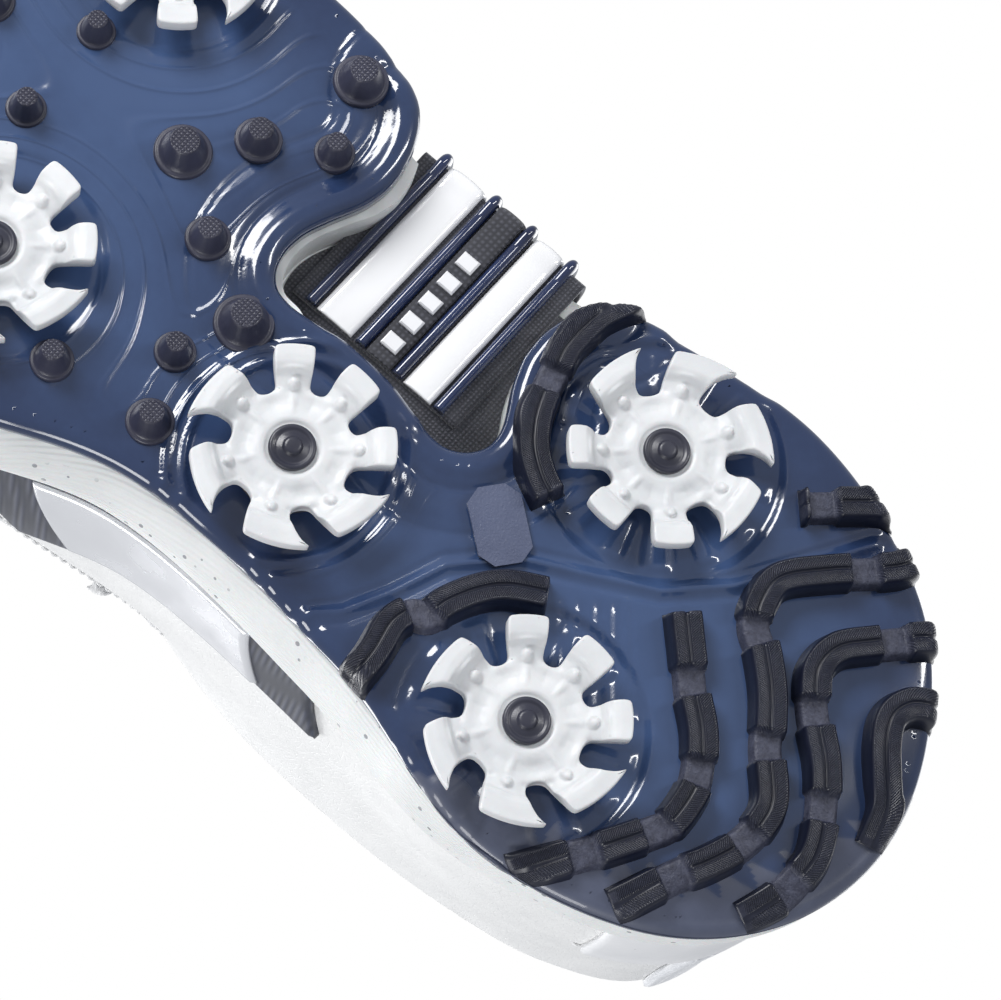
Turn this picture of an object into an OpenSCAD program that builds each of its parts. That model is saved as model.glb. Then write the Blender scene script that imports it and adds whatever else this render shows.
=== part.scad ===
// Golf shoe for the right foot: welded sole with twist-lock cleats, layered upper, laced throat.
// x runs from the heel to the toe, y towards the inner side of the foot, z up from the ground.

/* [Sole] */
// Thickness of the outsole plate
plate_t = 3; // [2.4:0.2:3.4]
// Height of the outsole plate above the ground
stand_h = 6.5; // [6.3:0.1:7]
// Rise of the plate under the waist of the foot
waist_h = 1.5; // [0:0.1:1.5]
// Rise of the sole at the toe
toe_h = 14; // [8:1:18]
// Height of the midsole's top edge at the heel
heel_top = 30; // [28:1:34]
// Drop of the midsole's top edge from the heel to the ball
foot_drop = 9; // [5:1:10]
// How far the midsole swells past the outsole at the waist
flare = 5; // [2:0.5:6]

/* [Cleats] */
// Radius to the tips of a cleat's legs
cleat_r = 15; // [13:0.5:15]
// Radius of the stem that turns in the socket
stem_r = 4; // [3.5:0.1:4.2]
// Running clearance between the stem and its socket
stem_gap = 0.05; // [0.03:0.01:0.08]
// Radius of the socket cup
socket_r = 8; // [7.5:0.1:8]

/* [Upper] */
// Thickness of the outer layer
shell_t = 1.6; // [1.2:0.1:1.6]
// Thickness of the collar foam
collar_t = 6; // [4:0.5:7]
// Thickness of the tongue
tongue_t = 4; // [3:0.5:5]
// Length of the tongue above the throat
flap_len = 26; // [18:1:30]
// Rows of eyelets on each side
eyelet_rows = 6; // [4:1:6]

/* [Hidden] */
cleat_count = 7;

// ---- places ----
gap = 0.15;
heel_to_origin = 153.03;
side_to_origin = -2.31;
// Sole edge, from the heel tip round the outer side to the toe and back along the inner side
edge_points = [
    [1.6, -1], [6.8, -20], [22, -34], [48, -40], [80, -33],
    [118, -32], [150, -45], [200, -56], [255, -49], [290, -25],
    [304, 8], [297, 31], [262, 49], [205, 51], [150, 44],
    [118, 34.5], [80, 37.5], [48, 41], [22.6, 32.8], [7.8, 17.6]
];
// Distance of the upper's foot inside the sole edge, at the same stations
foot_inset = [4.9, 5.9, 6, 5, 2, 1, 2, 3, 3, 3, 3, 3, 3, 3, 3, 3, 4, 5, 4.9, 4.9];
// Top line of the upper: heel, outer collar, throat, inner collar, at the same stations
top_points = [
    [9, 0, 93], [14, -17, 90], [28, -27, 84], [45, -32, 79], [65, -34, 77], [90, -31, 86], [113, -22, 104],
    [140, -15, 93], [166, -12, 83], [188, -8, 75], [200, 3, 71],
    [188, 13, 75], [166, 18, 83], [140, 20, 93], [113, 25, 104], [90, 33, 86], [65, 35, 78], [45, 33, 80],
    [28, 28, 85], [14, 17, 90]
];
// Cleat centres, then +1 or -1 for the way the long legs curl
cleat_places = [
    [52, -23, 1], [62.5, 21.5, -1], [102.5, -15, 1],
    [154, -21, 1], [167, 33, -1], [208, -36, 1], [222, 24, -1]
];
// Stud centres, then their radii
stud_places = [
    [144.6, 9.6, 3.95], [137.9, 18.7, 3.25], [128.6, 25.2, 2.8], [133.1, 2.1, 3.1], [120.8, -3.9, 4.1],
    [125.1, -14, 2.8], [120.7, -24.3, 3.25], [136.8, -27.3, 2.9], [165.6, -1.1, 2.75], [166.5, 15.1, 2.65],
    [133.2, 36.5, 3.8], [181, 8, 3.4], [188, -6, 3], [180, -20, 3.6], [196, 15, 2.8], [193, 27, 3.3],
    [205, 2, 3.8], [202, -15, 3], [186, -39, 3.2], [199, 39, 3], [222, -8, 3.2], [213, 44, 3.4],
    [232, -24, 3.6], [236, 6, 3], [243, 36, 3.6], [240, -41, 3.2], [251, -10, 3.8], [254, 20, 3.2],
    [257, -33, 3.2], [261, 2, 2.8]
];

// ---- helpers ----
function mix(a, b, t) = a * (1 - t) + b * t;
function smooth(a, b, x) = let (t = min(1, max(0, (x - a) / (b - a)))) t * t * (3 - 2 * t);
function spline(a, b, c, d, t) =
    0.5 * (2 * b + (c - a) * t + (2 * a - 5 * b + 4 * c - d) * t * t + (3 * b - a - 3 * c + d) * t * t * t);
// A closed spline through the list, u from 0 to 1
function round_list(list, u) =
    let (n = len(list), s = (u - floor(u)) * n, i = floor(s))
    spline(list[(i + n - 1) % n], list[i % n], list[(i + 1) % n], list[(i + 2) % n], s - i);
// An open spline through the list, t from 0 to 1
function along_list(list, t) =
    let (n = len(list) - 1, s = t * n, i = min(n - 1, floor(s)))
    spline(list[max(0, i - 1)], list[i], list[i + 1], list[min(n, i + 2)], s - i);
function unit(v) = v / norm(v);
function edge(u) = round_list(edge_points, u);
function edge_out(u) = let (d = edge(u + 0.002) - edge(u - 0.002)) unit([d[1], -d[0]]);
function edge_in(u, d) = edge(u) - d * edge_out(u);
function toe_spring(x) = x < 215 ? 0 : toe_h * pow((x - 215) / 89, 2);
function heel_bevel(x) = x > 20 ? 0 : 3 * pow((20 - x) / 20, 2);
function waist_rise(x) = waist_h * smooth(67, 87, x) * (1 - smooth(122, 144, x));
function base_z(x) = stand_h + toe_spring(x) + heel_bevel(x) + waist_rise(x);
// Clear height under the plate for a piece that reaches r to either side of x
plate_gap = 0.2;
function under_plate(x, r = 0) = min(base_z(x - r), base_z(x + r)) - plate_gap;
function feather_z(x) = heel_top - foot_drop * smooth(60, 190, x) + 0.9 * toe_spring(x);
function upper_foot(u) =
    let (p = edge_in(u, round_list(foot_inset, u))) [p[0], p[1], feather_z(p[0]) + gap];
// The outer surface of the upper, u round the sole edge and v from the sole up to the top line
function upper_at(u, v) =
    let (
        b = upper_foot(u), t = round_list(top_points, u), n = edge_out(u),
        front = smooth(0.26, 0.4, min(u - floor(u), ceil(u) - u)),
        h = t[2] - b[2], lean = b - t,
        p1 = b + [n[0] * 2, n[1] * 2, mix(0.35, 0.62, front) * h],
        p2 = t + [lean[0] * 0.5 * front, lean[1] * 0.5 * front, -mix(0.35, 0.02, front) * h],
        w = 1 - v
    )
    b * w * w * w + 3 * p1 * w * w * v + 3 * p2 * w * v * v + t * v * v * v;
function upper_out(u, v) =
    let (v0 = max(0, v - 0.01), v1 = min(1, v + 0.01))
    unit(cross(upper_at(u + 0.003, v) - upper_at(u - 0.003, v), upper_at(u, v1) - upper_at(u, v0)));
function skin_at(u, v, off) = upper_at(u, v) + off * upper_out(u, v);

// A closed solid through rings of an even number of points, flat strips across its two ends
module lofted(rings) {
    n = len(rings[0]);
    m = len(rings);
    top = (m - 1) * n;
    walls = [for (j = [0:m - 2], k = [0:n - 1])
        let (a = j * n + k, b = j * n + (k + 1) % n) each [[a, a + n, b], [b, a + n, b + n]]];
    ends = [for (k = [0:n / 2 - 1]) let (a = k, b = k + 1, c = n - k - 1, d = (n - k) % n)
        each concat(k == n / 2 - 1 ? [] : [[a, b, c]], k == 0 ? [] : [[a, c, d]])];
    polyhedron(
        points = [for (r = rings) each r],
        faces = concat(walls, ends, [for (f = ends) [f[0] + top, f[2] + top, f[1] + top]])
    );
}

// A thin solid between two grids of points, rows upwards and columns to the left of the outward face
module skin(outer, inner) {
    m = len(outer);
    n = len(outer[0]);
    q = m * n;
    cells = [for (i = [0:m - 2], j = [0:n - 2]) i * n + j];
    faces = [for (a = cells) let (b = a + 1, c = a + n, d = c + 1)
        each [[a, c, b], [b, c, d], [a + q, b + q, c + q], [b + q, d + q, c + q]]];
    low = [for (a = [0:n - 2]) each [[a, a + 1, a + 1 + q], [a, a + 1 + q, a + q]]];
    high = [for (j = [0:n - 2]) let (a = (m - 1) * n + j)
        each [[a, a + 1 + q, a + 1], [a, a + q, a + 1 + q]]];
    left = [for (i = [0:m - 2]) let (a = i * n, c = a + n) each [[a, a + q, c], [a + q, c + q, c]]];
    right = [for (i = [0:m - 2]) let (a = i * n + n - 1, c = a + n) each [[a, c, a + q], [a + q, c, c + q]]];
    polyhedron(
        points = concat([for (r = outer) each r], [for (r = inner) each r]),
        faces = concat(faces, low, high, left, right)
    );
}

// A piece of the upper between two columns, two heights and two distances from the outer surface
module upper_patch(u0, u1, v0, v1, off_in, off_out, columns, rows) {
    function sheet(off) = [for (i = [0:rows])
        [for (j = [0:columns]) skin_at(mix(u0, u1, j / columns), mix(v0, v1, i / rows), off)]];
    skin(sheet(off_out), sheet(off_in));
}

// A tube swept along points, of a few flat sides
module tube(path, r, sides) {
    n = len(path);
    up = [0, 0, 1];
    rings = [for (i = [0:n - 1])
        let (
            d = unit(path[min(n - 1, i + 1)] - path[max(0, i - 1)]),
            e = unit(cross(d, norm(cross(d, up)) < 0.2 ? [1, 0, 0] : up)), f = cross(e, d)
        )
        for (k = [0:sides - 1]) path[i] + r * (cos(360 * k / sides) * e + sin(360 * k / sides) * f)];
    last = (n - 1) * sides;
    polyhedron(
        points = concat(rings, [path[0], path[n - 1]]),
        faces = concat(
            [for (i = [0:n - 2], k = [0:sides - 1])
                let (a = i * sides + k, b = i * sides + (k + 1) % sides)
                each [[a, b, a + sides], [b, b + sides, a + sides]]],
            [for (k = [0:sides - 1]) [(k + 1) % sides, k, n * sides]],
            [for (k = [0:sides - 1]) [last + k, last + (k + 1) % sides, n * sides + 1]]
        )
    );
}

// Stands its children at a point of the upper, z along the outward normal
module on_upper(u, v) {
    n = upper_out(u, v);
    translate(upper_at(u, v)) rotate([0, acos(n[2]), atan2(n[1], n[0])]) children();
}

// ---- sole ----
stations = 96;
// How far the sole reaches past its edge where the arch recess begins
arch_reach = 5;
function reach(u) = arch_reach * smooth(0.69, 0.73, u) * (1 - smooth(0.737, 0.745, u));
function sole_ring(inset, z_of) =
    [for (k = [0:stations - 1])
        let (u = k / stations, p = edge_in(u, inset - reach(u))) [p[0], p[1], z_of(p[0])]];
// Outline of the recess that is cut into the arch from the inner side
arch_points = [
    [86, 60], [86, 36], [88, 23], [84, 8], [88, 2.5], [98, 5],
    [110, 5.5], [120, 4.5], [124, 10], [120.5, 24], [121, 36], [124, 60]
];
arch_top = base_z(104) + 9.6;
module arch_cut(top) translate([0, 0, -1]) linear_extrude(top + 1)
    polygon([for (i = [0:33]) along_list(arch_points, i / 33)]);

// Radius of the pad that brings the waist cleat down to the level of the others
waist_pad_r = 13;
module outsole_plate() color("midnightblue") difference() {
    union() {
        lofted([
            sole_ring(1.2, function (x) base_z(x)),
            sole_ring(0, function (x) base_z(x) + 0.9),
            sole_ring(0.3, function (x) base_z(x) + plate_t)
        ]);
        translate([cleat_places[2][0], cleat_places[2][1], stand_h])
            cylinder(r = waist_pad_r, h = waist_h + 0.5, $fn = 48);
    }
    arch_cut(30);
    for (c = cleat_places) translate([c[0], c[1], 0]) cylinder(r = socket_r + stem_gap, h = 20, $fn = 48);
}

// One chain of lugs: a ridge of trapezoid section whose height drops to a bridge at some stations
rib_top_w = 2.65;
rib_tip_w = 1.8;
lug_h = 4.2;
bridge_h = 2.3;
module rib(points, bridges, steps) {
    path = [for (i = [0:steps]) along_list(points, i / steps)];
    function side(i) = let (d = path[min(steps, i + 1)] - path[max(0, i - 1)]) unit([-d[1], d[0]]);
    function low(p) = min([for (b = bridges) norm(p - b)]) < 2.6;
    function top(i, w) = let (q = path[i] + w * side(i)) [q[0], q[1], under_plate(q[0])];
    function depth(i) = low(path[i]) ? bridge_h : lug_h;
    function tip(i, w) = let (q = path[i] + w * side(i)) [q[0], q[1], base_z(path[i][0]) - depth(i)];
    rings = [for (i = [0:steps])
        [top(i, -rib_top_w), top(i, rib_top_w), tip(i, rib_tip_w), tip(i, -rib_tip_w)]];
    n = 4;
    polyhedron(
        points = [for (r = rings) each r],
        faces = concat(
            [for (i = [0:steps - 1], k = [0:n - 1])
                let (a = i * n + k, b = i * n + (k + 1) % n) each [[a, b, a + n], [b, b + n, a + n]]],
            [[2, 1, 0], [3, 2, 0]],
            [[steps * n, steps * n + 1, steps * n + 2], [steps * n, steps * n + 2, steps * n + 3]]
        )
    );
}
rib_a = [[45, 4.5], [38.5, -1.5], [32.8, -6.7], [28.5, -13], [28, -21], [31.5, -27.2], [37, -35]];
rib_b = [
    [28, 30], [33.5, 24.2], [38.2, 17], [36, 10], [28.9, 4.4], [19, -7.6], [18, -16], [22.3, -25.3],
    [25, -31]
];
rib_c = [[18, 25], [22.3, 20], [26, 13.5], [23, 7.5], [13.9, -1.5], [9, -11], [11.5, -22]];
rib_d = [[11.5, 18], [13.4, 13.2], [8.6, 6.2], [5.8, -1]];
rib_e = [[34.5, 36], [39, 33], [43, 29.5]];
rib_f = [[83, 31], [83.4, 24], [81.9, 18], [79, 11.5], [75, 7.2], [71.5, 5.6]];
rib_g = [[75, -29], [75.2, -23.5], [71.6, -17.1], [67.5, -10.5], [62, -6.4]];
module heel_ribs() color("darkslategray") {
    rib(rib_a, [[38.5, -1.5], [29.3, -11.5], [28.3, -22], [33.5, -31]], 18);
    rib(rib_b, [[33.5, 24.2], [35.5, 9.5], [24, -2.3], [18, -14.5], [22.3, -25.3]], 24);
    rib(rib_c, [[24, 18], [22, 6.5], [12.5, -3.4], [9, -14.8]], 20);
    rib(rib_d, [[60, 60]], 8);
    rib(rib_e, [[60, 60]], 4);
    rib(rib_f, [[81.9, 19]], 12);
    rib(rib_g, [[72.5, -19]], 12);
}
toe_rib_bend = 9;
module toe_ribs() color("darkslategray") for (k = [0:2])
    rib([for (a = [-3:3]) [272 + 9.5 * k - toe_rib_bend * a * a / 9, 9 + a * (11 - 2 * k)]],
        [for (a = [-2, 0, 2]) [272 + 9.5 * k - toe_rib_bend * a * a / 9, 9 + a * (11 - 2 * k)]], 18);

stud_h = 4.6;
module traction_studs() color("darkslategray") for (s = stud_places)
    translate([s[0], s[1], under_plate(s[0], s[2])]) mirror([0, 0, 1])
        cylinder(r1 = s[2], r2 = s[2] * 0.55, h = stud_h, $fn = 32);

module sole_patch() color("slategray") translate([73.5, -2.5, stand_h - plate_gap - 0.6]) rotate(38)
    linear_extrude(0.6) polygon([[-6, -2], [-4, -4], [4, -4], [6, -2], [6, 2], [4, 4], [-4, 4], [-6, 2]]);

// ---- cleats ----
lip_z = stand_h + 1.9;
chamber_h = 1.3;
cup_h = 4.2;
ear_r = 5.6;
module at_cleat(i) translate([cleat_places[i][0], cleat_places[i][1], 0]) children();
module cleat_socket(i) color("dimgray") at_cleat(i) difference() {
    translate([0, 0, stand_h]) cylinder(r = socket_r, h = cup_h, $fn = 48);
    cylinder(r = stem_r + stem_gap, h = lip_z + 1, $fn = 48);
    translate([0, 0, lip_z]) cylinder(r = ear_r + 0.4, h = chamber_h, $fn = 48);
    for (a = [60, 180, 300]) rotate(a) translate([0, -1.6, 0]) cube([ear_r + 0.2, 3.2, lip_z + 1]);
}
// A blade of the cleat: its two edges, as angles at the root and at the tip, and its faces at each radius
blade_r = [5.5, 8.7, 11.5, 13.2, 15];
blade_low = [3, 2.6, 0, 0, 0];
blade_top = [6.2, 5.2, 3.6, 3, 2.4];
module blade(turn, root, lead, trail) {
    n = len(blade_r) - 1;
    function rim(r, a, z) = [r * cos(turn + a), r * sin(turn + a), z];
    rings = [for (i = [0:n])
        let (t = max(0, i - 1) / (n - 1), a = mix(-root, -lead, t), b = mix(root, trail, t))
        let (r = blade_r[i] * cleat_r / 15, high = blade_top[i], low = blade_low[i])
        [rim(r, a, high), rim(r, b, high), rim(r, b - 1, low), rim(r, a + 1, low)]];
    polyhedron(
        points = [for (r = rings) each r],
        faces = concat(
            [for (i = [0:n - 1], k = [0:3])
                let (a = i * 4 + k, b = i * 4 + (k + 1) % 4) each [[a, b, a + 4], [b, b + 4, a + 4]]],
            [[2, 1, 0], [3, 2, 0], [n * 4, n * 4 + 1, n * 4 + 2], [n * 4, n * 4 + 2, n * 4 + 3]]
        )
    );
}
short_blades = [50, 95, 140];
long_blades = [0, -56, -112, -166];
module cleat(i) color("white") at_cleat(i) {
    hand = cleat_places[i][2];
    rotate(hand < 0 ? 8 : 0) mirror([0, hand < 0 ? 1 : 0, 0]) {
        for (a = short_blades) blade(a, 14.3, 11.3, 11.3);
        for (a = long_blades) blade(a, 17, 26, 9);
    }
    translate([0, 0, 2.8]) cylinder(r = 8.8, h = stand_h - 3, $fn = 48);
    translate([0, 0, 4]) cylinder(r = stem_r, h = lip_z + chamber_h - 0.3 - 4, $fn = 48);
    for (a = [0, 120, 240]) rotate(a) translate([0, -1.3, lip_z + 0.2]) cube([ear_r, 2.6, chamber_h - 0.5]);
}
module cleat_cap(i) color("dimgray") at_cleat(i) translate([0, 0, 2.05]) {
    cylinder(r = 3.65, h = 0.75, $fn = 48);
    translate([0, 0, -0.5]) cylinder(r1 = 1.2, r2 = 1.9, h = 0.5, $fn = 32);
}

// ---- midsole and footbed ----
function waist(m) = smooth(0.12, 0.2, m) * (1 - smooth(0.3, 0.36, m));
function swell(u) = mix(0.6, u < 0.5 ? flare : 0.4, waist(min(u, 1 - u)));
function wall_ring(rise) = [for (k = [0:stations - 1])
    let (u = k / stations, p = edge_in(u, -swell(u) * sin(180 * mix(0.12, 0.8, rise)) - 0.6 * reach(u)))
    let (q = edge_in(u, round_list(foot_inset, u) - 1))
    let (x = mix(p[0], q[0], rise * rise), y = mix(p[1], q[1], rise * rise))
    [x, y, mix(base_z(x) + plate_t + 0.1, feather_z(x), rise)]];
module midsole() color("white") difference() {
    lofted([
        sole_ring(0.6, function (x) base_z(x) + plate_t + 0.1),
        wall_ring(0.2), wall_ring(0.45), wall_ring(0.75), wall_ring(1)
    ]);
    arch_cut(arch_top);
    for (c = cleat_places) translate([c[0], c[1], 0])
        cylinder(r = socket_r + 0.3, h = stand_h + cup_h + 0.3, $fn = 48);
}
function bed_ring(inset, rise) = [for (k = [0:stations - 1])
    let (u = k / stations, p = edge_in(u, inset + round_list(foot_inset, u)))
    [p[0], p[1], feather_z(p[0]) + rise]];
module shank_plate() color("silver") skin(
    [for (y = [-12, 8]) [for (i = [0:8]) let (x = 140 - 9 * i) [x, y, feather_z(x) + 1.1]]],
    [for (y = [-12, 8]) [for (i = [0:8]) let (x = 140 - 9 * i) [x, y, feather_z(x) + 0.1]]]
);
module strobel_board() color("beige") lofted([bed_ring(4.6, 1.25), bed_ring(4.6, 2.3)]);
module sockliner() color("gray") lofted([bed_ring(5.2, 2.4), bed_ring(4.8, 4.4), bed_ring(5.6, 6.4)]);

// ---- saddle: a band that runs under the arch and up both sides ----
wrap_heel_x = 89;
wrap_toe_x = 120.5;
wrap_z = base_z(104) + 8;
wrap_t = 1.2;
wrap_side = 37.6;
// Point of the band: a across from heel side to toe side, row along it, off outwards from its inner face
function wrap_at(a, row, off) =
    let (x = mix(wrap_heel_x, wrap_toe_x, a), u = mix(0.7865, 0.745, a), lift = (row - 6) / 8)
    row < 4 ? [x, 8 + 9 * row, wrap_z + wrap_t - off]
    : row == 4 ? [x, wrap_side + off, wrap_z + wrap_t - off]
    : row == 5 ? [x, wrap_side + off, wrap_z + 6.5]
    : skin_at(u - 0.05 * lift, 0.02 + 0.72 * lift, 0.7 + off);
module wrap_piece(a0, a1, off_in, off_out, columns, first, last) skin(
    [for (i = [first:last]) [for (j = [0:columns]) wrap_at(mix(a1, a0, j / columns), i, off_out)]],
    [for (i = [first:last]) [for (j = [0:columns]) wrap_at(mix(a1, a0, j / columns), i, off_in)]]
);
wrap_top = 10;
trim_top = 5;
module saddle_wrap() color("dimgray") wrap_piece(0, 1, 0, wrap_t, 6, 0, wrap_top);
module saddle_frame() color("navy") for (a = [0.08, 0.335, 0.56, 0.87])
    wrap_piece(a, a + 0.06, wrap_t + 0.15, wrap_t + 1.6, 1, 0, trim_top);
module on_wrap(a0, a1, thick) wrap_piece(a0, a1, wrap_t + 0.15, wrap_t + thick, 2, 0, trim_top);
module mirror_inlay_front() color("silver") on_wrap(0.66, 0.85, 0.9);
module mirror_inlay_rear() color("silver") on_wrap(0.16, 0.315, 0.9);
module arch_strap() color("darkslategray") on_wrap(0.41, 0.545, 1.1);
module strap_marks() color("silver") for (k = [0:4])
    translate([mix(wrap_heel_x, wrap_toe_x, 0.478) - 1.4, 10 + 4.3 * k, wrap_z - 1.7]) cube([2.8, 2.6, 0.5]);
module saddle_outer() color("dimgray") upper_patch(0.2, 0.2875, 0.02, 0.34, 0.7, 1.7, 7, 3);
module mirror_inlay_outer() color("silver") upper_patch(0.22, 0.2675, 0.06, 0.29, 1.95, 2.5, 4, 3);

// ---- upper ----
module quarter_lateral() color("whitesmoke") upper_patch(0.001, 0.3, 0, 1, -shell_t, 0, 24, 8);
module quarter_medial() color("whitesmoke") upper_patch(0.7, 0.999, 0, 1, -shell_t, 0, 24, 8);
vamp_from = 0.3005;
vamp_to = 0.6995;
vamp_v = 0.8495;
function vamp_u(k) = mix(vamp_from, vamp_to, k / 32);
module vamp() color("whitesmoke") upper_patch(vamp_from, vamp_to, 0, vamp_v, -shell_t, 0, 32, 12);
module toe_guard() color("gainsboro") upper_patch(0.4, 0.6, 0.01, 0.24, 0.45, 1.4, 16, 3);
module toe_puff() color("beige")
    upper_patch(vamp_u(11), vamp_u(21), vamp_v / 12, vamp_v / 2, -2.7, -2.1, 10, 5);
module heel_cap() color("silver") upper_patch(-0.1, 0.1, 0.01, 0.42, 0.35, 1.5, 16, 4);
module heel_stiffener() color("beige") upper_patch(-0.15, 0.15, 0.03, 0.55, -2.6, -1.9, 24, 5);
module heel_tab() color("dimgray") upper_patch(-0.05, 0.05, 0.47, 0.985, 0.35, 1.5, 8, 5);
module quarter_lining() color("lightgray") upper_patch(-0.2995, 0.2995, 0.03, 0.6, -3.9, -2.9, 36, 5);
module vamp_lining() color("lightgray")
    upper_patch(vamp_from, vamp_to, vamp_v / 12, vamp_v, -3.9, -3, 32, 11);
module collar_padding() color("gray") upper_patch(-0.25, 0.25, 0.62, 0.97, -2 - collar_t, -2, 32, 4);

// ---- throat ----
throat_v = 0.85;
eyelet_v = 0.925;
function eyelet_u(k) = 0.318 + 0.0285 * k;
module throat_stay() color("gainsboro")
    upper_patch(0.4755, 0.5245, throat_v + 0.0005, 1, -shell_t, 0.8, 4, 2);
module eyestay(from_u, to_u, side) difference() {
    upper_patch(from_u, to_u, throat_v + 0.0005, 1, -shell_t, 0.8, 14, 2);
    for (k = [0:eyelet_rows - 1]) on_upper(side > 0 ? 1 - eyelet_u(k) : eyelet_u(k), eyelet_v)
        translate([0, 0, -6]) cylinder(r = 2.6, h = 12, $fn = 32);
}
module eyestay_lateral() color("gainsboro") eyestay(0.3005, 0.475, -1);
module eyestay_medial() color("gainsboro") eyestay(0.525, 0.6995, 1);
module eyelets() color("silver") for (k = [0:eyelet_rows - 1], side = [0, 1])
    on_upper(abs(side - eyelet_u(k)), eyelet_v) rotate_extrude($fn = 32)
        polygon([[2, -1.8], [2.45, -1.8], [2.45, 1.25], [3.6, 1.25], [3.6, 1.7], [2, 1.7]]);

// The lace runs straight across each row outside, and from row to row inside
lace_r = 1;
lace_in = -3.05;
lace_over = 3.9;
function lace_bar(k, s) =
    let (u = eyelet_u(k), a = s > 0 ? 1 - u : u, b = 1 - a, c = mix(upper_at(a, 1), upper_at(b, 1), 0.5))
    [skin_at(a, eyelet_v, lace_in), skin_at(a, eyelet_v, 0.3), skin_at(a, eyelet_v, 3.1),
     skin_at(a, 1, lace_over), c + [0, 0, 6.5], skin_at(b, 1, lace_over),
     skin_at(b, eyelet_v, 3.1), skin_at(b, eyelet_v, 0.3), skin_at(b, eyelet_v, lace_in)];
lace_path = [for (k = [eyelet_rows - 1:-1:0]) each lace_bar(k, k % 2 == 0 ? -1 : 1)];
module lace() color("white") tube(lace_path, lace_r, 8);

// The tongue follows the inside of the eyestays and arches between them
tongue_off = -5.2;
wing_v = 0.8;
function tongue_at(u, t, off) =
    t < 0.25 ? skin_at(u, mix(wing_v, 1, t / 0.25), off)
    : t > 0.75 ? skin_at(1 - u, mix(wing_v, 1, (1 - t) / 0.25), off)
    : let (w = (t - 0.25) / 0.5)
        mix(skin_at(u, 1, off), skin_at(1 - u, 1, off), w) + [0, 0, 16 * w * (1 - w)];
function tongue_row(u, off) = [for (j = [0:16]) tongue_at(u, j / 16, off)];
module tongue_base() color("whitesmoke") skin(
    [for (i = [0:14]) tongue_row(mix(0.487, 0.301, i / 14), tongue_off)],
    [for (i = [0:14]) tongue_row(mix(0.487, 0.301, i / 14), tongue_off - tongue_t)]
);
flap_rise = [-0.62, 0, 0.78];
flap_start = 0.6;
function flap_row(s, off) =
    [for (p = tongue_row(0.301, off)) let (c = 1.5) [p[0], c + (p[1] - c) * (1 - 0.06 * s), p[2]]
        + (flap_start + s * (flap_len - 5 * pow(abs(p[1] - c) / 22, 2))) * flap_rise];
module tongue_flap() color("whitesmoke") skin(
    [for (i = [0:5]) flap_row(i / 5, tongue_off)],
    [for (i = [0:5]) flap_row(i / 5, tongue_off - tongue_t)]
);
module tongue_label() color("gray") skin(
    [for (s = [0.25, 0.5, 0.75]) [for (j = [6:10]) flap_row(s, tongue_off + 0.9)[j]]],
    [for (s = [0.25, 0.5, 0.75]) [for (j = [6:10]) flap_row(s, tongue_off + 0.2)[j]]]
);

// ---- assembly ----
module shoe() translate([-heel_to_origin, -side_to_origin, 0]) children();
shoe() outsole_plate();
shoe() heel_ribs();
shoe() toe_ribs();
shoe() traction_studs();
shoe() sole_patch();
for (i = [0:cleat_count - 1]) {
    shoe() cleat_socket(i);
    shoe() cleat(i);
    shoe() cleat_cap(i);
}
shoe() midsole();
shoe() shank_plate();
shoe() strobel_board();
shoe() sockliner();
shoe() saddle_wrap();
shoe() saddle_frame();
shoe() mirror_inlay_front();
shoe() mirror_inlay_rear();
shoe() arch_strap();
shoe() strap_marks();
shoe() saddle_outer();
shoe() mirror_inlay_outer();
shoe() quarter_lateral();
shoe() quarter_medial();
shoe() vamp();
shoe() toe_guard();
shoe() toe_puff();
shoe() heel_cap();
shoe() heel_stiffener();
shoe() heel_tab();
shoe() throat_stay();
shoe() eyestay_lateral();
shoe() eyestay_medial();
shoe() eyelets();
shoe() lace();
shoe() tongue_base();
shoe() tongue_flap();
shoe() tongue_label();
shoe() collar_padding();
shoe() quarter_lining();
shoe() vamp_lining();
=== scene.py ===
import math

import bpy
import numpy as np
from mathutils import Matrix, Vector
from mathutils.kdtree import KDTree


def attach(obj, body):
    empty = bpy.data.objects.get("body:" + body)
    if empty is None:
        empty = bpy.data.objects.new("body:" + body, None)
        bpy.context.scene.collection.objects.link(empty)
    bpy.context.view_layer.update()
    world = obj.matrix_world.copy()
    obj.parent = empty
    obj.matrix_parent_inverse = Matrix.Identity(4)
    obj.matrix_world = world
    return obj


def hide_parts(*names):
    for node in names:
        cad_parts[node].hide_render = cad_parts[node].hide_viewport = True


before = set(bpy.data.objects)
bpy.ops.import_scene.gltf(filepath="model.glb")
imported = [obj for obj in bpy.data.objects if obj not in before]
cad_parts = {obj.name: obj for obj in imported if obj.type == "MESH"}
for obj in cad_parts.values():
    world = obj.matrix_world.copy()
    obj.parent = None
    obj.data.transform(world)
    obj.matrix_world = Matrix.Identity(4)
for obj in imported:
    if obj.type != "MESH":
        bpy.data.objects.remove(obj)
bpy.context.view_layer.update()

ORIGIN = np.array([153.03, -2.31, 0.0])
STAND = 6.5
PLATE_T = 3.0
RIM = 2.2
ARCH_TOP = 17.6

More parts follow.
